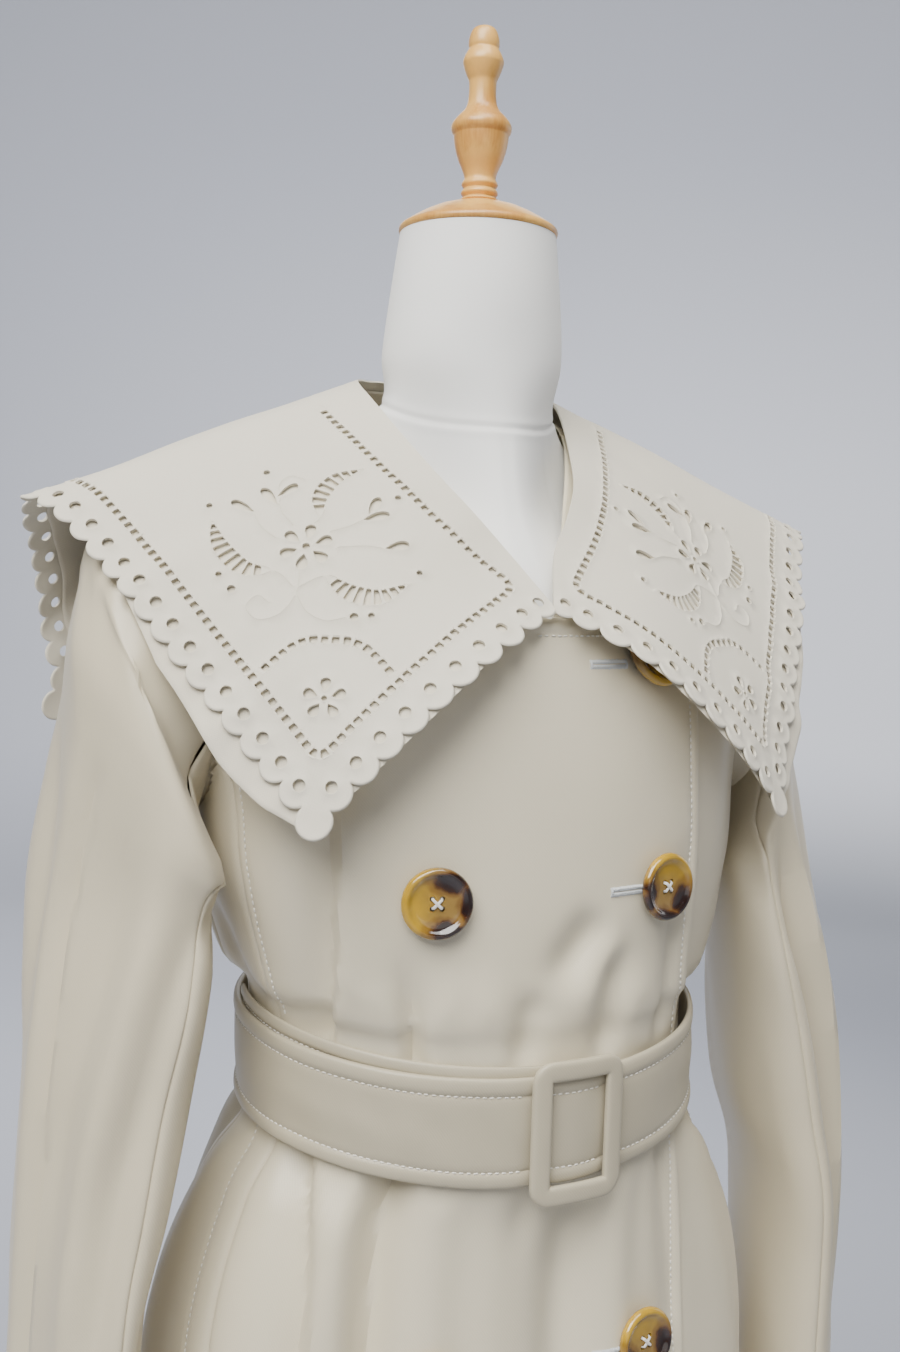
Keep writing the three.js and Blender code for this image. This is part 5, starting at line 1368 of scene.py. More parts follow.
cap_prof = [(NECK_R, 0), (43.2, 0.5), (43.5, 1.7), (43.1, 3.0), (42.2, 3.9), (40.6, 4.9), (37, 7.2), (31, 10.6), (25, 13.4), (18, 15.7), (13, 17.0), (11.4, CAP_H)]
form_cap = settle(closed_lathe("form_cap", [(NECK_R * k, 0) for k in (0.5, 0.97)] + cap_prof, (0, 4.5, RIM_Z + 0.3), WOOD, 128), "form_wood", "form_cap")
fin = [(9.9, 0), (10.5, 0.5), (10.6, 1.0), (9.6, 1.8), (8.8, 2.2), (9.0, 2.9), (9.9, 3.9), (10.1, 4.9), (9.4, 6.2), (8.7, 6.9), (9.2, 7.8), (9.9, 8.8), (9.9, 9.8), (9.2, 11.0), (8.6, 12.4),
       (9.2, 15.2), (10.6, 18.6), (12.0, 21.6), (13.3, 25.4), (14.3, 29.4), (14.9, 33.4), (15.0, 34.9), (15.3, 35.6), (16.2, 37.2), (16.5, 39.0), (16.2, 40.6), (15.3, 42.2), (14.4, 43.4), (12.6, 45.4), (10.6, 47.4),
       (9.0, 49.6), (8.0, 52.2), (7.5, 56.0), (7.4, 60.4), (7.6, 63.9), (8.6, 66.2), (10.0, 69.6), (10.9, 72.4), (11.1, 73.6), (10.8, 75.4), (9.8, 77.8), (8.6, 79.8), (8.1, 80.8), (8.4, 82.4), (8.3, 85.2), (7.7, 87.8),
       (6.8, 90.0), (5.4, 91.6), (3.2, 92.5), (1.2, 92.72)]
form_finial = settle(closed_lathe("form_finial", spline_profile(fin, 3), (0, 4.5, RIM_Z + CAP_H + 0.6), WOOD, 96, angle=45), "form_wood", "form_finial")
FLOOR = -WAIST_Z
pole = [(13.2, 24.3), (14, 25.1)] + [(14, z) for z in np.linspace(26, 698, 30)] + [(14, 698.9), (13.2, 699.7)]
form_pole = settle(closed_lathe("form_pole", [(8, 24.3)] + pole + [(8, 699.7)], (0, 0, FLOOR), WOOD, 64), "form_wood", "form_pole")
base = [(120, 0), (181, 0), (183.6, 0.8), (184.8, 2.6), (185, 5), (185, 13.5), (184.2, 15.6), (181.6, 17.6), (176, 19.0), (150, 20.0), (110, 20.9), (70, 21.6), (47, 22.0), (44.6, 22.2), (43.4, 22.9), (41.6, 23.8), (40, 24), (20, 24)]
form_base = settle(closed_lathe("form_base", base, (0, 0, FLOOR), WOOD, 128), "form_wood", "form_base")


# =============================================================================================================
# Collar
# =============================================================================================================
COLLAR = np.array([
    ((0.6, -100, 243), (46, -127, 211), (89, -131, 173), (125, -123, 136)),
    ((13.5, -74, 268), (62, -93, 240), (107, -100, 204), (151, -95, 166)),
    ((27, -61, 287), (77, -64, 271), (126, -64, 242), (174, -66, 207)),
    ((41, -40, 309), (96, -28, 301), (150, -27, 277), (203, -31, 248)),
    ((56, 8, 346), (115, 11, 329), (177, 13, 306), (239, 16, 284)),
    ((57, 34, 360), (118, 43, 336), (181, 46, 307), (237, 44, 273)),
    ((44, 52, 363), (108, 72, 326), (172, 82, 288), (228, 68, 240)),
    ((30, 59, 364), (92, 86, 319), (158, 96, 261), (209, 84, 175)),
    ((15, 62, 364), (52, 92, 324), (88, 107, 258), (110, 105, 170)),
    ((0, 64, 364), (0, 96, 322), (0, 109, 256), (0, 107, 168)),
], float).reshape(10, 4, 3)


def collar_point(s, t):
    """Points of the collar's top face on the wearer's left half, s 0 to 9 from centre front to centre back, t 0 to 1 from the neck to the outer edge (a little over 1 runs straight on)."""
    s, t = np.broadcast_arrays(np.asarray(s, float), np.asarray(t, float))
    A = mix_rows(COLLAR, s)                                        # (..., 4, 3)
    tc = np.clip(t, 0, 1) * 3
    i = np.minimum(tc.astype(int), 2)
    f = (tc - i)[..., None]
    take = lambda k: np.take_along_axis(A, np.clip(k, 0, 3)[..., None, None], axis=-2)[..., 0, :]
    p1, p2 = take(i), take(i + 1)
    p0 = np.where((i == 0)[..., None], 2 * p1 - p2, take(i - 1))
    p3 = np.where((i == 2)[..., None], 2 * p2 - p1, take(i + 2))
    P = 0.5 * (2 * p1 + (p2 - p0) * f + (2 * p0 - 5 * p1 + 4 * p2 - p3) * f ** 2 + (3 * p1 - p0 - 3 * p2 + p3) * f ** 3)
    over = np.maximum(t - 1, 0)[..., None] * 3
    endslope = 0.5 * (3 * take(3 + 0 * i) - 4 * take(2 + 0 * i) + take(1 + 0 * i))
    return P + endslope * over


def collar_normal(s, t):
    e = 0.03
    s0, s1, t0, t1 = np.maximum(s - e, 0), np.minimum(s + e, 9), np.maximum(t - e, 0), t + e
    n = np.cross(collar_point(s, t1) - collar_point(s, t0), collar_point(s1, t) - collar_point(s0, t))
    n[..., 0] = np.where(np.asarray(s) > 8.99, 0, n[..., 0])
    return unit(n)


# ---- the collar laid flat -------------------------------------------------------------------------------------
NS, NT = 37, 13


def flatten_collar():
    """Flat positions (mm) of a grid of the half collar's points, keeping the lengths between neighbours as well as a flat sheet can."""
    S, T = np.meshgrid(np.linspace(0, 9, NS), np.linspace(0, 1, NT), indexing="ij")
    P = collar_point(S, T).reshape(-1, 3)
    n = len(P)
    ij = np.stack(np.meshgrid(np.arange(NS), np.arange(NT), indexing="ij"), -1).reshape(-1, 2)
    A = np.full((n, n), 1e6)
    W = np.zeros((n, n))
    for di in range(-3, 4):
        for dj in range(-3, 4):
            if (di, dj) == (0, 0):
                continue
            k = ij + [di, dj]
            ok = (k >= 0).all(1) & (k[:, 0] < NS) & (k[:, 1] < NT)
            a, b = np.where(ok)[0], k[ok, 0] * NT + k[ok, 1]
            d = np.linalg.norm(P[a] - P[b], axis=1)
            A[a, b] = d
            W[a, b] = 1.0 / (d * d + 4.0) if max(abs(di), abs(dj)) <= 2 else 0.0
    np.fill_diagonal(A, 0)
    D = A.copy()
    for k in range(n):
        np.minimum(D, D[:, k:k + 1] + D[k:k + 1], out=D)
    J = np.eye(n) - 1.0 / n
    B = -0.5 * J @ (D * D) @ J
    w, v = np.linalg.eigh(B)
    X = v[:, -2:] * np.sqrt(np.maximum(w[-2:], 0))
    L = np.diag(W.sum(1)) - W
    Li = np.linalg.pinv(L)
    for _ in range(260):
        d = np.sqrt(((X[:, None] - X[None]) ** 2).sum(-1)) + 1e-9
        R = np.where(W > 0, W * A / d, 0)
        Bm = np.diag(R.sum(1)) - R
        X = Li @ (Bm @ X)
    X = X.reshape(NS, NT, 2)
    # set it down with the centre back line along Y and the front to the left, right way up
    c = X[-1, -1] - X[-1, 0]
    ang = math.atan2(-c[1], -c[0])
    rot = np.array([[math.cos(math.pi / 2 - ang), -math.sin(math.pi / 2 - ang)], [math.sin(math.pi / 2 - ang), math.cos(math.pi / 2 - ang)]])
    X = (X - X[-1].mean(0)) @ rot.T
    if X[0, :, 0].mean() < 0:
        X[..., 0] *= -1
    X[..., 0] -= X[-1, :, 0].mean()
    return X


FLAT = flatten_collar()


def flat_point(s, t):
    """Flat position of a point of the half collar; beyond its borders it stays on the border."""
    s, t = np.broadcast_arrays(np.asarray(s, float), np.asarray(t, float))
    R = mix_rows(FLAT, s / 9 * (NS - 1))                          # (..., NT, 2)
    x = np.clip(t, 0, 1) * (NT - 1)
    i = np.minimum(x.astype(int), NT - 2)
    f = (x - i)[..., None]
    a = np.take_along_axis(R, i[..., None, None], axis=-2)[..., 0, :]
    b = np.take_along_axis(R, (i + 1)[..., None, None], axis=-2)[..., 0, :]
    return a + (b - a) * f


def along(Q):
    return np.concatenate([[0], np.cumsum(np.linalg.norm(np.diff(Q, axis=0), axis=1))])


def resample(Q, step=None, n=None, closed=False):
    Q = np.asarray(Q, float)
    if closed:
        Q = np.concatenate([Q, Q[:1]])
    L = along(Q)
    n = n or max(2, int(round(L[-1] / step)) + 1)
    x = np.linspace(0, L[-1], n + 1)[:-1] if closed else np.linspace(0, L[-1], n)
    return np.stack([np.interp(x, L, Q[:, k]) for k in range(Q.shape[1])], 1)


def normals2(Q, closed=False):
    """Unit normals on the left of a flat line."""
    if closed:
        T = np.roll(Q, -1, 0) - np.roll(Q, 1, 0)
    else:
        T = np.gradient(Q, axis=0)
    T = T / (np.linalg.norm(T, axis=1, keepdims=True) + 1e-9)
    return np.stack([-T[:, 1], T[:, 0]], 1)


def dist2(P, Q, closed=False):
    """Distance and length along the flat polyline Q for each of P."""
    if closed:
        Q = np.concatenate([Q, Q[:1]])
    A, D = Q[:-1], np.diff(Q, axis=0)
    L = along(Q)
    t = np.clip(((P[:, None] - A[None]) * D[None]).sum(-1) / ((D * D).sum(-1) + 1e-12)[None], 0, 1)
    w = P[:, None] - A[None] - t[..., None] * D[None]
    d = np.sqrt((w * w).sum(-1))
    k = d.argmin(1)
    i = np.arange(len(P))
    return d[i, k], L[:-1][k] + t[i, k] * np.diff(L)[k]


def inside(P, Q):
    x, y = P[:, 0][:, None], P[:, 1][:, None]
    a, b = Q, np.roll(Q, -1, 0)
    c = (a[None, :, 1] > y) != (b[None, :, 1] > y)
    xi = a[None, :, 0] + (y - a[None, :, 1]) * (b[None, :, 0] - a[None, :, 0]) / (b[None, :, 1] - a[None, :, 1] + 1e-12)
    return ((c & (x < xi)).sum(1) % 2) == 1


def cut_corners(P, k=0.13):
    Q = np.roll(P, -1, 0)
    return np.stack([(1 - k) * P + k * Q, k * P + (1 - k) * Q], 1).reshape(-1, 2)


def onto_cut():
    """The small turn and shift that brings the drawing below, made on the flat front, onto the flat cut."""
    drawn = np.array([(0, 0, 136.21, 303.36), (0, 1, 305.86, 293.34), (1, 0, 123.87, 267.26), (1, 1, 298.47, 245.46), (2, 0, 119.51, 241.06), (2, 1, 281.64, 193.21), (3, 0, 110.86, 208.47), (3, 1, 269.22, 132.49)], float)
    A, B = drawn[:, 2:], flat_point(drawn[:, 0], drawn[:, 1])
    a0, b0 = A.mean(0), B.mean(0)
    U, _, Vt = np.linalg.svd((A - a0).T @ (B - b0))
    R = (U @ np.diag([1, np.sign(np.linalg.det(U @ Vt))]) @ Vt).T
    return R, b0 - R @ a0


TURN, SHIFT = onto_cut()
on_cut = lambda pts: np.asarray(pts, float) @ TURN.T + SHIFT


# ---- the scalloped edge -----------------------------------------------------------------------------------
EYE_R, EYE_RING, LOBE_R, LADDER_IN = 2.95, 1.15, 8.85, 13.2
low_eyes = on_cut([(141.2, 298.6), (153.6, 297.2), (170.0, 296.2), (186.6, 294.9), (203.0, 293.6), (219.2, 291.7), (235.4, 289.9), (251.4, 288.2), (267.0, 286.6), (282.3, 284.4)])
side_pts = on_cut([(290.1, 271.6), (283.1, 245.8), (276.2, 218.7), (269.6, 190.8), (262.9, 163.5), (256.2, 136.4), (249.6, 106.9), (245.2, 80.1)])
cad_edge = flat_point(np.linspace(3.95, 9, 160), 1.0)
n_edge = normals2(cad_edge)
if np.dot(n_edge[0], np.array([-1.0, 0])) < 0:
    n_edge = -n_edge
inner_edge = cad_edge + n_edge * 15.5
s_edge = np.linspace(3.95, 9, 160)
part_a = inner_edge[s_edge < 6.72]
part_b = inner_edge[s_edge > 7.25]


def meet(A, B):
    """Where two straight-going lines meet: the end of A run on, the start of B run back."""
    p, d = A[-1], A[-1] - A[-6]
    q, e = B[0], B[0] - B[5]
    M = np.array([[d[0], -e[0]], [d[1], -e[1]]])
    k = np.linalg.solve(M, q - p)
    return p + d * k[0]


CORNER = meet(part_a, part_b)
side_line = resample(catmull(np.concatenate([side_pts, part_a[8::16], CORNER[None]]), 8), step=0.5)
back_line = resample(catmull(np.concatenate([CORNER[None], part_b[6::14], [[FLAT[-1, -1, 0], part_b[-1][1]]]]), 8), step=0.5)


def even(Q, start, end, pitch):
    L = along(Q)
    n = int(round((L[-1] - start - end) / pitch))
    x = np.linspace(start, L[-1] - end, n + 1)
    return np.stack([np.interp(x, L, Q[:, k]) for k in range(2)], 1)


side_eyes = even(side_line, 0.0, 7.2, 14.3)
back_eyes = even(back_line, 7.2, 7.6, 15.0)


def outward(eyes, toward):
    N = normals2(eyes)
    if np.dot(N[len(N) // 2], toward) < 0:
        N = -N
    return N


NL, NSd, NB = outward(low_eyes, np.array([0, 1.0])), outward(side_eyes, np.array([1.0, 0])), outward(back_eyes, np.array([0, -1.0]))
turned = lambda v, deg: np.array([v[0] * math.cos(deg * RAD) - v[1] * math.sin(deg * RAD), v[0] * math.sin(deg * RAD) + v[1] * math.cos(deg * RAD)])
NL[-1], NSd[0] = turned(NL[-1], -16), turned(NSd[0], 20)
NSd[-1], NB[0] = turned(NSd[-1], -18), turned(NB[0], 18)
tip_mid = (low_eyes[-1] + side_eyes[0]) / 2
tip_dir = (NL[-1] + NSd[0]) / np.linalg.norm(NL[-1] + NSd[0])
back_mid = (side_eyes[-1] + back_eyes[0]) / 2
back_dir = (NSd[-1] + NB[0]) / np.linalg.norm(NSd[-1] + NB[0])
discs = []
for eyes, N in ((low_eyes, NL), (None, None), (side_eyes, NSd), (None, None), (back_eyes, NB)):
    if eyes is None:
        m, d = (tip_mid, tip_dir) if len(discs) == len(low_eyes) else (back_mid, back_dir)
        discs.append((m + d * 15.9, LOBE_R))
        continue
    gap = np.linalg.norm(np.diff(eyes, axis=0), axis=1)
    for k in range(len(eyes)):
        p = (gap[max(k - 1, 0)] + gap[min(k, len(gap) - 1)]) / 2
        discs.append((eyes[k] + N[k] * 3.1, math.sqrt((p / 2 + 0.25) ** 2 + 2.8 ** 2)))
mid_of = np.array([c for c, r in discs])


def circles_meet(a, b, away):
    (c0_, r0), (c1_, r1) = a, b
    d = c1_ - c0_
    L = np.linalg.norm(d)
    x = (L * L + r0 * r0 - r1 * r1) / (2 * L)
    h2 = r0 * r0 - x * x
    h = math.sqrt(max(h2, 0.0))
    n = np.array([-d[1], d[0]]) / L
    p, q = c0_ + d / L * x + n * h, c0_ + d / L * x - n * h
    return p if np.linalg.norm(p - away) > np.linalg.norm(q - away) else q


centre_of_collar = on_cut([180.0, 170.0])
notches = []
for a, b in zip(discs[:-1], discs[1:]):
    mid = (a[0] + b[0]) / 2
    inward = centre_of_collar - mid if mid[1] > 60 else np.array([90.0, 0.0]) - mid
    notches.append(circles_meet(a, b, mid + inward))
neck_line = flat_point(np.linspace(9, 0, 120), 0.0)
v_dir = neck_line[-1] - neck_line[-6]
v_dir = v_dir / np.linalg.norm(v_dir)
c_, r_0 = discs[0]
w_ = neck_line[-1] - c_
b_ = w_ @ v_dir
start_pt = neck_line[-1] + v_dir * (-b_ + math.sqrt(max(b_ * b_ - (w_ @ w_ - r_0 * r_0), 0)))
CBX = float(FLAT[-1, :, 0].mean())
c_, r_1 = discs[-1]
end_pt = np.array([CBX, c_[1] - math.sqrt(max(r_1 * r_1 - (c_[0] - CBX) ** 2, 0))])
stops = [start_pt] + notches + [end_pt]
edge_pts, edge_join = [], []
for (c, r), p, q in zip(discs, stops[:-1], stops[1:]):
    a0, a1 = math.atan2(*(p - c)[::-1]), math.atan2(*(q - c)[::-1])
    out_a = a0 + ((a1 - a0 + math.pi) % (2 * math.pi) - math.pi)
    mid = c + r * np.array([math.cos((a0 + out_a) / 2), math.sin((a0 + out_a) / 2)])
    far = centre_of_collar if c[1] > 60 else np.array([90.0, 0.0])
    if np.linalg.norm(mid - far) < np.linalg.norm(c - far) and r == LOBE_R:      # a lobe goes the long way round
        out_a = out_a + (2 * math.pi if out_a < a0 else -2 * math.pi)
    n = max(6, int(abs(out_a - a0) * r / 1.75))
    for k in range(n):
        a = a0 + (out_a - a0) * k / n
        edge_pts.append(c + r * np.array([math.cos(a), math.sin(a)]))
    edge_join.append(len(edge_pts))
edge_pts.append(end_pt)
edge_pts = np.array(edge_pts)                                      # the scalloped border, from the neck point to centre back
cb_line = np.stack([np.full(46, CBX), np.linspace(end_pt[1], FLAT[-1, 0, 1], 46)], 1)
neck_pts = resample(np.concatenate([[[CBX, FLAT[-1, 0, 1]]], neck_line[1:], [start_pt]]), step=3.4)
OUTLINE = np.concatenate([edge_pts[:-1], cb_line[:-1], neck_pts[:-1]])

# ---- cutwork: holes and satin-stitched lines --------------------------------------------------------------
holes_, lines_, rings_ = [], [], []          # polygons; (polyline, half width, height, closed); (polygon, ring width)


def circle(c, r, n, a0=0.0):
    a = a0 + np.linspace(0, 2 * np.pi, n, endpoint=False)
    return np.asarray(c, float) + r * np.stack([np.cos(a), np.sin(a)], 1)


def eyelet(c, r, n=18, ring=1.15, squeeze=1.0, turn=0.0):
    Q = circle((0, 0), r, n) * [1, squeeze]
    cs, sn = math.cos(turn), math.sin(turn)
    Q = np.stack([Q[:, 0] * cs - Q[:, 1] * sn, Q[:, 0] * sn + Q[:, 1] * cs], 1) + c
    holes_.append(Q)
    rings_.append((Q, ring))


def drop(a, b, half, ring=1.0, n=20):
    """A teardrop hole with its point at a and its round end at b."""
    a, b = np.asarray(a, float), np.asarray(b, float)
    d = b - a
    L = np.linalg.norm(d)
    d = d / L
    m = np.array([-d[1], d[0]])
    k = np.linspace(0, 2 * np.pi, n, endpoint=False)
    x = 0.5 - 0.5 * np.cos(k)
    y = np.sin(k) * np.sin(k / 2) ** 1.1 * half * 1.25
    Q = a + d * (x * L)[:, None] + m * y[:, None]
    holes_.append(Q)
    rings_.append((Q, ring))


rng_c = np.random.default_rng(12)


def ladder(path, hole=3.6, pitch=5.3, rail=0.55, start=1.2, end=1.2, rails=True, sides=1.85):
    """A line of drawn-thread squares between two satin rails, with wrapped bars across."""
    L = along(path)
    n = int((L[-1] - start - end) // pitch)
    pad = (L[-1] - n * pitch) / 2
    N = normals2(path)
    at = lambda x: np.stack([np.interp(x, L, path[:, k]) for k in range(2)], -1)
    nat = lambda x: (lambda v: v / np.linalg.norm(v))(np.array([np.interp(x, L, N[:, k]) for k in range(2)]))
    for k in range(n):
        m = pad + (k + 0.5) * pitch
        j = rng_c.normal(size=4) * 0.10
        x0, x1 = m - hole / 2 + j[0], m + hole / 2 + j[1]
        s0, s1 = sides + j[2] * 0.7, sides + j[3] * 0.7
        q = np.array([at(x0) - nat(x0) * s0, at(x1) - nat(x1) * s0, at(x1) + nat(x1) * s1, at(x0) + nat(x0) * s1])
        holes_.append(cut_corners(q))
        if k:
            b = pad + k * pitch
            lines_.append((np.array([at(b) - nat(b) * 1.9, at(b), at(b) + nat(b) * 1.9]), 0.85, 0.28, False))
    for x in (pad - 0.9, L[-1] - pad + 0.9):
        if 0.2 < x < L[-1] - 0.2:
            lines_.append((np.array([at(x) - nat(x) * 2.2, at(x), at(x) + nat(x) * 2.2]), 0.6, 0.35, False))
    if rails:
        for sgn in (-1, 1):
            Q = resample(path + N * sgn * (sides + 0.62), step=2.65)
            lines_.append((Q, rail, 0.42, False))


frame_pts = on_cut([(110.2, 131.3), (118.5, 157.5), (125.2, 179.1), (130.8, 200.3), (135.1, 219.3), (138.3, 238.0), (140.0, 255.6), (140.6, 270.0)])
low_in = low_eyes - NL * LADDER_IN
low_in[-1] = low_eyes[-1] - NL[-2] * LADDER_IN
side_in = side_line + (-outward(side_line, np.array([1.0, 0]))) * 13.6
back_in = back_line + (-outward(back_line, np.array([0, -1.0]))) * 13.6


def cross(A, B):
    """First crossing of two flat polylines: index in each and the point."""
    for i in range(len(A) - 1):
        p, d = A[i], A[i + 1] - A[i]
        q, e = B[:-1], np.diff(B, axis=0)
        den = d[0] * e[:, 1] - d[1] * e[:, 0]
        w = q - p
        t = (w[:, 0] * e[:, 1] - w[:, 1] * e[:, 0]) / (den + 1e-12)
        u = (w[:, 0] * d[1] - w[:, 1] * d[0]) / (den + 1e-12)
        k = np.where((t >= 0) & (t <= 1) & (u >= 0) & (u <= 1))[0]
        if len(k):
            return i, k[0], p + d * t[k[0]]
    return None


ext = lambda Q, a, b: np.concatenate([[Q[0] - (Q[1] - Q[0]) / np.linalg.norm(Q[1] - Q[0]) * a], Q, [Q[-1] + (Q[-1] - Q[-2]) / np.linalg.norm(Q[-1] - Q[-2]) * b]])
neck_f = resample(ext(catmull(frame_pts, 6), 0.01, 30), step=0.8)
low_f = resample(ext(low_in[1:], 40, 40), step=0.8)
side_f = resample(ext(side_in, 30, 30), step=0.8)
back_f = resample(ext(back_in, 30, 0.01), step=0.8)
i, j, p = cross(neck_f, low_f)
path = [neck_f[:i + 1], [p]]
i2, j2, p2 = cross(low_f[j:], side_f)
path += [low_f[j + 1:j + i2 + 1], [p2]]
i3, j3, p3 = cross(side_f[j2 + 1:], back_f)
path += [side_f[j2 + 1:j2 + 1 + i3 + 1], [p3], back_f[j3 + 1:]]
FRAME = resample(np.concatenate(path), step=0.8)
box = 9                                                            # rounds the frame's corners
pad_f = np.concatenate([np.repeat(FRAME[:1], box, 0), FRAME, np.repeat(FRAME[-1:], box, 0)])
cum = np.cumsum(np.concatenate([np.zeros((1, 2)), pad_f]), axis=0)
smoothed = (cum[2 * box + 1:] - cum[:-2 * box - 1]) / (2 * box + 1)
blendf = np.minimum(np.arange(len(FRAME)), np.arange(len(FRAME))[::-1]) / box
FRAME = np.where(blendf[:, None] >= 1, smoothed, FRAME)
FRAME[-1, 0] = CBX
ladder(FRAME, start=0.9, end=0.0)
for c in low_eyes:
    eyelet(c, EYE_R)
for c in side_eyes:
    eyelet(c, EYE_R)
for c in back_eyes:
    eyelet(c, EYE_R)

# the sprig: its own frame, r to the right and u up towards the neck
O_, UP_, RT_ = on_cut([196.0, 196.0]), TURN @ [-0.879, -0.476], TURN @ [-0.476, 0.879]
mo = lambda r, u: O_ + RT_ * r + UP_ * u
mos = lambda pts: np.array([mo(r, u) for r, u in pts])


def satin(pts, half=0.55, height=0.42, step=1.8):
    lines_.append((resample(catmull(mos(pts), 8), step=step), half, height, False))


def leaf(pts, width, pitch=4.4, bar=1.3, ends=(0.10, 0.06)):
    """A pointed leaf edged in satin and crossed by wrapped bars, with the cloth cut away between them."""
    Q = resample(catmull(mos(pts), 10), step=0.6)
    L, N = along(Q), normals2(Q)
    x = L / L[-1]
    w = width * np.sin(np.pi * x ** 0.85) ** 0.75
    at = lambda v, sgn, k: np.array([np.interp(v, L, Q[:, 0] + sgn * k * N[:, 0] * np.maximum(w - 0.95, 0)), np.interp(v, L, Q[:, 1] + sgn * k * N[:, 1] * np.maximum(w - 0.95, 0))])
    a, b = L[-1] * ends[0], L[-1] * (1 - ends[1])
    n = int((b - a) // pitch)
    pitch = (b - a) / n
    for k in range(n):
        v0, v1 = a + k * pitch + bar / 2, a + (k + 1) * pitch - bar / 2
        vm = (v0 + v1) / 2
        q = np.array([at(v0, -1, 1), at(vm, -1, 1), at(v1, -1, 1), at(v1, 1, 1), at(vm, 1, 1), at(v0, 1, 1)])
        if np.linalg.norm(q[0] - q[-1]) < 0.8 and np.linalg.norm(q[2] - q[3]) < 0.8:
            continue
        holes_.append(cut_corners(q, 0.16))
        if k:
            v = a + k * pitch
            lines_.append((np.array([at(v, -1, 1), (at(v, -1, 1) + at(v, 1, 1)) / 2, at(v, 1, 1)]), bar * 0.52, 0.28, False))
    for sgn in (-1, 1):
        lines_.append((resample(Q + N * (sgn * np.maximum(w - 0.4, 0.0))[:, None], step=1.9), 0.6, 0.42, False))


for k in range(6):                                                 # the daisy
    a = (90 + 60 * k) * RAD
    c0m, c1m = mo(4.6 * math.cos(a), 3 + 4.6 * math.sin(a)), mo(13.4 * math.cos(a), 3 + 13.4 * math.sin(a))
    drop(c0m, c1m, 3.0)
eyelet(mo(0, 3), 1.9, 14, 0.95)
leaf([(-13, -13), (-27, -14), (-41, -4), (-50, 12)], 5.6)
leaf([(13, -12), (26, -20), (41, -20), (54, -9)], 5.6)
leaf([(3, 22), (0, 35), (5, 49), (17, 60)], 5.2)
satin([(0, -12), (1, -24), (-4, -36), (-14, -41), (-21, -35), (-17, -28), (-11, -31)])
satin([(1, -24), (8, -33), (18, -37), (27, -34)])
satin([(-13, -13), (-8, -15), (-2, -20)], 0.5)
satin([(13, -12), (8, -15), (2, -20)], 0.5)
satin([(3, 22), (2, 19), (1, 18)], 0.5)
satin([(-9, 15), (-17, 23), (-20, 33)], 0.5)
satin([(10, 14), (20, 20), (27, 30)], 0.5)
satin([(-20, 33), (-22, 40), (-18, 47), (-10, 46)], 0.5)
satin([(16, 5), (30, 8), (41, 8)], 0.5)
satin([(-16, 6), (-25, 12), (-33, 24)], 0.5)
drop(mo(-20, 27), mo(-30, 36), 2.9)
drop(mo(-21, 32), mo(-13, 42), 2.6)
drop(mo(24, 24), mo(36, 31), 2.9)
drop(mo(26, 28), mo(29, 41), 2.6)
drop(mo(38, 8), mo(49, 14), 2.9)
drop(mo(-30, 20), mo(-43, 25), 2.7)
eyelet(mo(-30, 47), 1.7, 12, 0.95)
eyelet(mo(38, 43), 1.7, 12, 0.95)
eyelet(mo(-30, -27), 2.1, 14, 0.95)
eyelet(mo(-38, -20), 1.6, 12, 0.95)
eyelet(mo(31, -33), 2.1, 14, 0.95)
eyelet(mo(39, -31), 1.6, 12, 0.95)
eyelet(mo(-53, 20), 1.6, 12, 0.95)
eyelet(mo(57, -2), 1.6, 12, 0.95)

# by the tip, one ladder laid as an arch over a five-petalled flower of eyelets
i_tip = int(np.argmin(np.linalg.norm(FRAME - p2, axis=1)))
arm_a, arm_b = FRAME[i_tip - 66], FRAME[i_tip + 66]
top_ = p2 + (((arm_a + arm_b) / 2 - p2) / np.linalg.norm((arm_a + arm_b) / 2 - p2)) * 60
arch = catmull([arm_a + (top_ - arm_a) * 0.065, (arm_a * 0.45 + top_ * 0.66 - p2 * 0.11), top_, (arm_b * 0.45 + top_ * 0.66 - p2 * 0.11), arm_b + (top_ - arm_b) * 0.065], 24)
ladder(resample(arch, step=0.8), start=2.2, end=2.2)
fc = p2 + (top_ - p2) * 0.50
a_up = math.atan2(*(top_ - p2)[::-1])
for k in range(5):
    a = a_up + 2 * math.pi * k / 5
    drop(fc + 3.4 * np.array([math.cos(a), math.sin(a)]), fc + 10.4 * np.array([math.cos(a), math.sin(a)]), 2.7)
eyelet(fc, 1.4, 10, 0.8)


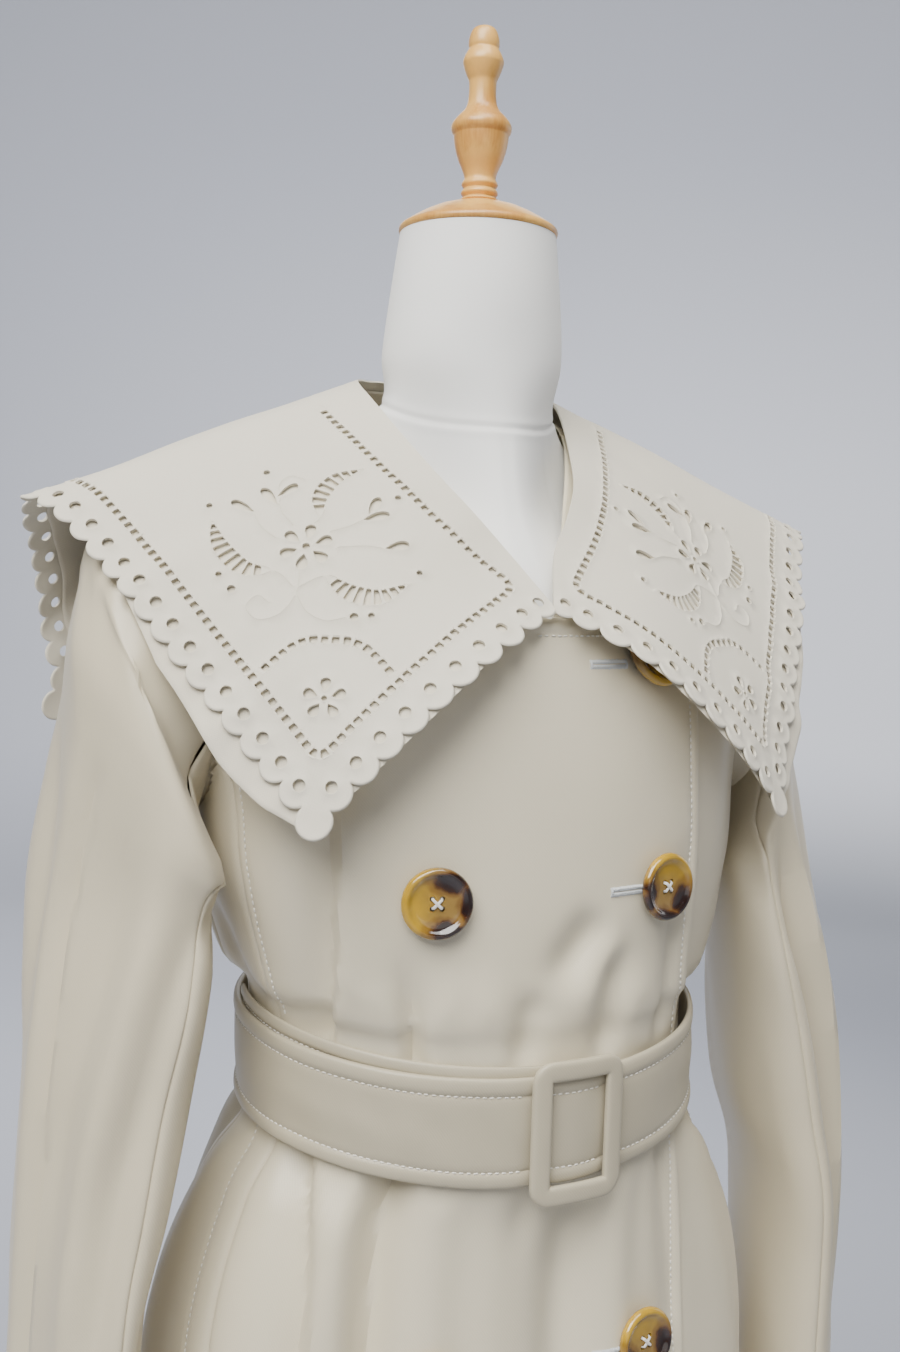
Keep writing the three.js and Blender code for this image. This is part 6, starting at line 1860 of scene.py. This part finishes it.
# ---- the flat collar as a fine mesh with its holes cut ----------------------------------------------------
def build_flat():
    from mathutils.kdtree import KDTree
    pts, edges = [], []

    def loop(Q):
        m = len(pts)
        pts.extend(Q.tolist())
        edges.extend([(m + i, m + (i + 1) % len(Q)) for i in range(len(Q))])
    loop(OUTLINE)
    for Q in holes_:
        loop(Q)
    fixed = len(pts)
    cand = []
    for d in (0.5, 1.25, 2.4):                                     # the satin band round the scallops
        E = edge_pts
        N = normals2(E)
        if np.mean(inside(E[5:-5:7] + N[5:-5:7] * 0.8, OUTLINE)) < 0.5:
            N = -N
        C = E + N * d
        for q in notches:                                          # round the inside of each notch
            C = np.concatenate([C, circle(q, d, 10)])
        dist, _ = dist2(C, E)
        C = C[(dist > d * 0.96) & (dist < d * 1.1) & inside(C, OUTLINE)]
        cand.append(C[::1] if d < 2 else C[::2])
    for Q, w in rings_:
        N = normals2(Q, True)
        if np.linalg.norm(Q[0] + N[0] * 0.1 - Q.mean(0)) < np.linalg.norm(Q[0] - Q.mean(0)):
            N = -N
        for d in (w * 0.45, w):
            cand.append(Q + N * d)
    for Q, half, height, closed in lines_:
        N = normals2(Q)
        for d in ((-half, 0, half) if half > 0.5 else (-half, 0, half)):
            cand.append(Q + N * d)
    C = np.concatenate(cand)
    C = C[inside(C, OUTLINE)]
    # keep candidates that crowd neither a hole's edge nor each other
    kd = KDTree(fixed)
    for i, p in enumerate(pts):
        kd.insert((p[0], p[1], 0), i)
    kd.balance()
    keep = np.array([kd.find((p[0], p[1], 0))[2] > 0.24 for p in C])
    C = C[keep]
    cell = {}
    out = []
    for p in C:
        k = (int(p[0] / 0.42), int(p[1] / 0.42))
        ok = True
        for a in (-1, 0, 1):
            for b in (-1, 0, 1):
                for q in cell.get((k[0] + a, k[1] + b), ()):
                    if (q[0] - p[0]) ** 2 + (q[1] - p[1]) ** 2 < 0.30 ** 2:
                        ok = False
                        break
        if ok:
            cell.setdefault(k, []).append(p)
            out.append(p)
    pts += [list(p) for p in out]
    kd = KDTree(len(pts))
    for i, p in enumerate(pts):
        kd.insert((p[0], p[1], 0), i)
    kd.balance()
    sp = 4.7                                                       # even points over the plain cloth
    lo, hi = OUTLINE.min(0), OUTLINE.max(0)
    gx, gy = np.meshgrid(np.arange(lo[0], hi[0], sp), np.arange(lo[1], hi[1], sp * 0.866))
    gx[1::2] += sp / 2
    G = np.stack([gx.ravel(), gy.ravel()], 1) + np.random.default_rng(4).normal(size=(gx.size, 2)) * 0.15
    G = G[inside(G, OUTLINE)]
    G = [g for g in G if kd.find((g[0], g[1], 0))[2] > 2.0]
    pts += [list(g) for g in G]
    res = delaunay_2d_cdt([Vector(p) for p in pts], edges, [], 0, 1e-5)
    V = np.array([(v.x, v.y) for v in res[0]])
    F = np.array([f for f in res[2] if len(f) == 3])
    cen = V[F].mean(1)
    ok = np.zeros(len(F), bool)
    for i in range(0, len(F), 8000):
        ok[i:i + 8000] = inside(cen[i:i + 8000], OUTLINE)
    for Q in holes_:
        a, b = Q.min(0), Q.max(0)
        k = np.where(((cen > a) & (cen < b)).all(1) & ok)[0]
        if len(k):
            ok[k[inside(cen[k], Q)]] = False
    F = F[ok]
    A = V[F]
    area = (A[:, 1, 0] - A[:, 0, 0]) * (A[:, 2, 1] - A[:, 0, 1]) - (A[:, 2, 0] - A[:, 0, 0]) * (A[:, 1, 1] - A[:, 0, 1])
    F = np.where((area < 0)[:, None], F[:, ::-1], F)
    F = F[np.abs(area) > 1e-6]
    used = np.unique(F)
    remap = -np.ones(len(V), int)
    remap[used] = np.arange(len(used))
    V, F = V[used], remap[F]
    # relief, satin mask and the length along the stitching
    h, mask, run = np.zeros(len(V)), np.zeros(len(V)), np.zeros(len(V))
    d, a = np.full(len(V), 99.0), np.zeros(len(V))
    near = np.where((np.abs(V[:, 0] - CBX) > -1))[0]
    for i in range(0, len(near), 4000):
        k = near[i:i + 4000]
        d[k], a[k] = dist2(V[k], edge_pts)
    edge_d = d.copy()
    m = d < 2.5
    h[m] = 0.42 * np.clip(np.sin(np.pi * np.clip(d[m] / 2.5, 0, 1)), 0, 1) ** 0.55
    mask[m], run[m] = smooth((2.45 - d[m]) / 0.3), a[m]
    for Q, w in rings_:
        lo_, hi_ = Q.min(0) - w, Q.max(0) + w
        k = np.where(((V > lo_) & (V < hi_)).all(1))[0]
        if len(k):
            dd, aa = dist2(V[k], Q, True)
            x = np.clip(dd / w, 0, 1)
            hh = 0.42 * np.sin(np.pi * (0.22 + 0.78 * x)) ** 0.8 * (x < 1)
            t = hh > h[k]
            h[k[t]], run[k[t]] = hh[t], aa[t]
            mask[k] = np.maximum(mask[k], (dd < w * 0.98) * 1.0)
    for Q, half, height, closed in lines_:
        lo_, hi_ = Q.min(0) - half, Q.max(0) + half
        k = np.where(((V > lo_) & (V < hi_)).all(1))[0]
        if len(k):
            dd, aa = dist2(V[k], Q)
            hh = height * np.sqrt(np.clip(1 - (dd / half) ** 2, 0, 1))
            t = hh > h[k]
            h[k[t]], run[k[t]] = hh[t], aa[t]
            mask[k] = np.maximum(mask[k], (dd < half * 0.97) * 1.0)
    return V, F, h, mask, run, edge_d


FV, FF, FH, FM, FR, FE = build_flat()
print("flat collar", len(FV), "points", len(FF), "triangles")


# ---- from flat to the round: each flat point finds its place in the grid --------------------------------------
def to_round(V):
    from mathutils.bvhtree import BVHTree
    ns, nt = 109, 37
    s, t = np.linspace(0, 9, ns), np.linspace(0, 1, nt)
    S, T = np.meshgrid(s, t, indexing="ij")
    X = flat_point(S, T).reshape(-1, 2)
    P, N = collar_point(S, T).reshape(-1, 3), collar_normal(S, T).reshape(-1, 3)
    Q = grid_faces(ns, nt)
    tri = np.concatenate([Q[:, [0, 1, 2]], Q[:, [0, 2, 3]]])
    tree = BVHTree.FromPolygons([(x, y, 0.0) for x, y in X], [tuple(map(int, f)) for f in tri])
    idx = np.array([tree.find_nearest((x, y, 0.0))[2] for x, y in V])
    A, B, C = X[tri[idx, 0]], X[tri[idx, 1]], X[tri[idx, 2]]
    det = (B[:, 1] - C[:, 1]) * (A[:, 0] - C[:, 0]) + (C[:, 0] - B[:, 0]) * (A[:, 1] - C[:, 1])
    a = ((B[:, 1] - C[:, 1]) * (V[:, 0] - C[:, 0]) + (C[:, 0] - B[:, 0]) * (V[:, 1] - C[:, 1])) / det
    b = ((C[:, 1] - A[:, 1]) * (V[:, 0] - C[:, 0]) + (A[:, 0] - C[:, 0]) * (V[:, 1] - C[:, 1])) / det
    c = 1 - a - b
    w = np.stack([a, b, c], 1)[..., None]
    ST = np.stack([S.ravel(), T.ravel()], 1)
    wn = np.clip(w, -0.2, 1.2)
    return (w * P[tri[idx]]).sum(1), unit((wn * N[tri[idx]]).sum(1)), (w * ST[tri[idx]]).sum(1)


CP, CN, CST = to_round(FV)
# a light unevenness of the cloth and a soft waviness along its loose edge
loose = smooth((CST[:, 1] - 0.45) / 0.6)
wave = 0.9 * np.sin(CST[:, 0] * 5.1 + 0.7) + 0.7 * np.sin(CST[:, 0] * 8.7 + 2.0) + 0.5 * np.sin(CST[:, 0] * 13.9)
COLLAR_T, COLLAR_CREASES = 1.05, [
    ([(4.6, 0.10), (4.3, 0.35), (4.0, 0.62)], 0.9, 9, 10, 0.2, 0.6), ([(3.9, 0.08), (3.5, 0.30), (3.3, 0.5)], -0.8, 8, 9, 0.2, 0.6),
    ([(2.6, 0.04), (2.2, 0.12), (1.6, 0.2)], -0.6, 6, 7, 0.3, 0.6), ([(5.2, 0.2), (5.4, 0.5), (5.6, 0.8)], 1.2, 14, 16, 0.4, 0.4),
    ([(6.3, 0.15), (6.5, 0.5), (6.8, 0.85)], -1.4, 16, 16, 0.3, 0.4), ([(7.6, 0.15), (7.6, 0.5), (7.6, 0.8)], 0.9, 18, 16, 0.3, 0.5),
]


def collar_line(pts):
    Q = catmull(np.array(pts, float), 5)
    return collar_point(Q[:, 0], Q[:, 1])


_cc = [(collar_line(l), *rest) for l, *rest in COLLAR_CREASES]


def collar_lift(P, N, st):
    loose_ = smooth((st[:, 1] - 0.45) / 0.6)
    w = 0.8 * np.sin(st[:, 0] * 5.1 + 0.7) + 0.6 * np.sin(st[:, 0] * 8.7 + 2.0) + 0.4 * np.sin(st[:, 0] * 13.9)
    return crease_field(P, N, _cc) + loose_ * w * smooth(st[:, 0] / 0.8) + ripple(P, 0.22, 31)


def joined_pair(name, top, low, tris, mat, uv, uv2, at_mid, angle=50):
    """A closed wall from its left half: the half is mirrored and the two are sewn along the centre line."""
    n = len(top)
    F = tris
    e = np.concatenate([F[:, [0, 1]], F[:, [1, 2]], F[:, [2, 0]]])
    key, rev = e[:, 0] * n + e[:, 1], e[:, 1] * n + e[:, 0]
    border = e[~np.isin(rev, key)]
    border = border[~(at_mid[border[:, 0]] & at_mid[border[:, 1]])]
    band = np.stack([border[:, 1], border[:, 0], border[:, 0] + n, border[:, 1] + n], 1)
    V = np.concatenate([top, low])
    mid2 = np.concatenate([at_mid, at_mid])
    V[mid2, 0] = 0.0
    other = np.where(mid2, np.arange(2 * n), np.arange(2 * n) + 2 * n)
    W = V * [-1, 1, 1]
    T3 = np.concatenate([F, F[:, ::-1] + n])
    T4 = band
    allV = np.concatenate([V, W])
    T3 = np.concatenate([T3, other[T3][:, ::-1]])
    T4 = np.concatenate([T4, other[T4][:, ::-1]])
    used = np.unique(np.concatenate([T3.ravel(), T4.ravel()]))
    remap = -np.ones(len(allV), int)
    remap[used] = np.arange(len(used))
    U = np.concatenate([uv, uv, uv * [-1, 1], uv * [-1, 1]])[used]
    ob = mesh_object(name, allV[used], [remap[T3], remap[T4]], mat, U, angle)
    if uv2 is not None:
        U2 = np.concatenate([uv2] * 4)[used]
        layer = ob.data.uv_layers.new(name="thread")
        li = np.zeros(len(ob.data.loops), np.int32)
        ob.data.loops.foreach_get("vertex_index", li)
        layer.data.foreach_set("uv", U2[li].astype(np.float32).ravel())
        ob.data.uv_layers.active_index = 0
    return ob


def collar_top_mesh():
    lift = collar_lift(CP, CN, CST)
    rim = round_edge(FE, 0.8, COLLAR_T)
    top = CP + CN * (lift + FH - rim)[:, None]
    low = CP + CN * (lift - COLLAR_T - FH * 0.45 + rim)[:, None]
    at_mid = np.abs(FV[:, 0] - CBX) < 1e-4
    # which way round the triangles face
    a, b, c = CP[FF[:, 0]], CP[FF[:, 1]], CP[FF[:, 2]]
    if np.einsum("ij,ij->i", np.cross(b - a, c - a), CN[FF[:, 0]]).mean() < 0:
        F = FF[:, ::-1]
    else:
        F = FF
    top[:, 0], low[:, 0] = np.maximum(top[:, 0], 0.0), np.maximum(low[:, 0], 0.0)
    return joined_pair("collar_top", top, low, F, COLLAR_CLOTH, FV / 1000, np.stack([FR, FM], 1), at_mid, 55)


collar_top = settle(collar_top_mesh(), "collar_cloth", "collar_top_right", "collar_top_left")


# ---- under-collar: a plain layer, a little wider than the scallops by the front corner ----------------------------
def under_reach(s):
    return np.interp(s, [0, 0.25, 0.6, 1.2, 2.2, 3.0, 3.6, 9], [0.965, 1.01, 1.035, 1.045, 1.035, 0.975, 0.915, 0.90])


def under_collar(side, word):
    s = np.concatenate([np.linspace(0.10, 3.2, 60)[:-1], np.linspace(3.2, 9, 80)])
    k = np.concatenate([[0, 0.004, 0.012], np.linspace(0.03, 0.97, 36), [0.985, 0.994, 1.0]])
    S = s[:, None] + 0 * k[None]
    T = 0.03 + (under_reach(s)[:, None] - 0.03) * k[None]
    P, N = collar_point(S, T), collar_normal(S, T)
    lift = collar_lift(P.reshape(-1, 3), N.reshape(-1, 3), np.stack([S, T], -1).reshape(-1, 2)).reshape(S.shape)
    l, r, bt, tp = border_lengths(P)
    e = np.minimum(bt, tp) if side else None
    e = np.minimum(np.minimum(l, r), bt)
    ends = round_edge(e, 0.7, 1.1)
    sag = 0.6 * smooth((T - 0.7) / 0.3)
    outer = P + N * (lift - 2.0 - sag - ends + groove(r, 5.0, 0.25, 1.0))[..., None]
    inner = P + N * (lift - 3.1 - sag + ends)[..., None]
    for A in (outer, inner):
        A[..., 0] = np.maximum(A[..., 0], 0.3) * side
    F = grid_faces(len(s), len(k))
    if side > 0:
        F = F[:, ::-1]
    ob = shell(f"collar_under_{word}", outer, inner, F, UNDER_CLOTH, np.stack([S * 30, T * 170], -1) / 1000)
    return settle(ob, "under_collar_cloth", f"collar_under_{word}")


collar_under_right, collar_under_left = under_collar(-1, "right"), under_collar(1, "left")


# =============================================================================================================
# Stage, lights, camera
# =============================================================================================================
def bowl():
    """A seamless floor and backdrop all round: flat in the middle, curving up, open at the top."""
    prof = [(0.0, 0)] + [(r, 0) for r in (1.2, 2.4, 3.6, 4.6)]
    R = 2.6
    for k in range(1, 17):
        a = k / 16 * math.pi / 2
        prof.append((4.6 + R * math.sin(a), R * (1 - math.cos(a))))
    prof += [(4.6 + R, z) for z in (3.4, 4.4, 5.4, 6.4)]
    seg = 96
    a = np.linspace(0, 2 * np.pi, seg, endpoint=False)
    V = np.concatenate([np.stack([r * np.cos(a), r * np.sin(a), np.full(seg, z)], 1) for r, z in prof[1:]])
    F = grid_faces(len(prof) - 1, seg, True)
    V = np.concatenate([V, [[0, 0, 0]]])
    j = np.arange(seg)
    T = np.stack([j, (j + 1) % seg, np.full(seg, len(V) - 1)], 1)[:, ::-1]
    m = Nodes("stage")
    geo = m.node("ShaderNodeNewGeometry")
    sep = m.node("ShaderNodeSeparateXYZ", {0: geo.outputs["Position"]})
    flat = m.node("ShaderNodeCombineXYZ", {0: sep.outputs[0], 1: sep.outputs[1]})
    rad = m.node("ShaderNodeVectorMath", {0: flat.outputs[0]}, operation="LENGTH").outputs["Value"]
    h = m.math("ADD", m.math("MULTIPLY", m.math("SUBTRACT", rad, 1.5), 0.0877), m.math("MULTIPLY", sep.outputs[2], 0.125))     # 0 near the stand, 0.5 at the wall's foot, 1 high up
    # Painted shade: the floor is darker than the backdrop, darkest in a ring some 3 m out, and the backdrop is lightest
    # just above its foot.
    col = m.ramp(h, [(0.0, lin("#85888F")), (0.16, lin("#6C6F77")), (0.26, lin("#85888F")), (0.47, lin("#D9DBE2")), (0.66, lin("#DADCE3")), (1.0, lin("#B4B7C1"))], "EASE")
    # Painted shade: the left side of the stage is darker.
    side = m.math("ADD", m.math("MULTIPLY", sep.outputs[0], 0.10), 0.50)
    col = m.mix(m.ramp(side, [(0.30, (1, 1, 1)), (0.95, (0, 0, 0))], "EASE"), col, lin("#A9ACB6"))
    n = m.node("ShaderNodeTexNoise", {"Vector": geo.outputs["Position"], "Scale": 0.7, "Detail": 2.0})
    col = m.mix(m.math("MULTIPLY", n.outputs[0], 0.10), col, lin("#B4B8C0"))
    m.set(Base_Color=col, Roughness=0.95)
    m.bsdf.inputs["Specular IOR Level"].default_value = 0.1
    V = V * 1000 - [0, 0, WAIST_Z]
    ob = mesh_object("studio_floor", V, [F, T], m.mat, None, 0)
    return ob


stage = bowl()


def area_light(name, loc, aim, size, power, colour=(1, 1, 1), size_y=None):
    li = bpy.data.lights.new(name, "AREA")
    li.energy, li.color = power, colour
    li.shape = "RECTANGLE"
    li.size, li.size_y = size, size_y or size
    ob = bpy.data.objects.new(name, li)
    bpy.context.scene.collection.objects.link(ob)
    ob.location = loc
    ob.rotation_euler = (Vector(aim) - Vector(loc)).to_track_quat("-Z", "Y").to_euler()
    return ob


area_light("window_light", (-1.75, -1.75, 3.9), (0.0, 0.0, 1.1), 2.6, 268, (1.0, 0.985, 0.95), 2.6)
area_light("ceiling_light", (0.2, -1.1, 4.6), (0.0, 0.0, 1.0), 1.8, 70, (1.0, 0.985, 0.955), 1.8)
area_light("front_light", (-0.5, -3.4, 1.5), (0.0, 0.0, 1.2), 2.0, 8, (1.0, 0.985, 0.955), 1.4)
area_light("fill_light", (3.0, 0.5, 1.7), (0.0, 0.0, 1.1), 1.2, 7, (1.0, 0.98, 0.95), 1.6)
area_light("back_light", (1.0, 3.2, 2.8), (0.0, 0.0, 1.2), 2.2, 18, (1, 1, 1), 1.8)
area_light("wall_light", (0.6, 1.8, 3.4), (3.1, 6.4, 1.2), 2.4, 278, (0.98, 0.985, 1.0), 2.4)
world = bpy.data.worlds.new("world")
bpy.context.scene.world = world
world.use_nodes = True
bg = world.node_tree.nodes["Background"]
bg.inputs[0].default_value = (1.0, 0.975, 0.93, 1.0)
bg.inputs[1].default_value = 0.20

psi, pitch, roll = 23.0 * RAD, 4.57 * RAD, 1.76 * RAD
C = Vector((-0.3055, -0.6949, 1.2891))
fwd_h, right, up = Vector((math.sin(psi), math.cos(psi), 0)), Vector((math.cos(psi), -math.sin(psi), 0)), Vector((0, 0, 1))
fwd = fwd_h * math.cos(pitch) - up * math.sin(pitch)
up2 = up * math.cos(pitch) + fwd_h * math.sin(pitch)
r_ = right * math.cos(roll) + up2 * math.sin(roll)
u_ = -right * math.sin(roll) + up2 * math.cos(roll)
cam = bpy.data.cameras.new("camera")
cam.lens, cam.sensor_width = 36.45, 36.0
cam.clip_start, cam.clip_end = 0.05, 60
cob = bpy.data.objects.new("camera", cam)
bpy.context.scene.collection.objects.link(cob)
M4 = Matrix.Identity(4)
for k, vec in enumerate((r_, u_, -fwd, C)):
    for i in range(3):
        M4[i][k] = vec[i]
cob.matrix_world = M4
bpy.context.scene.camera = cob
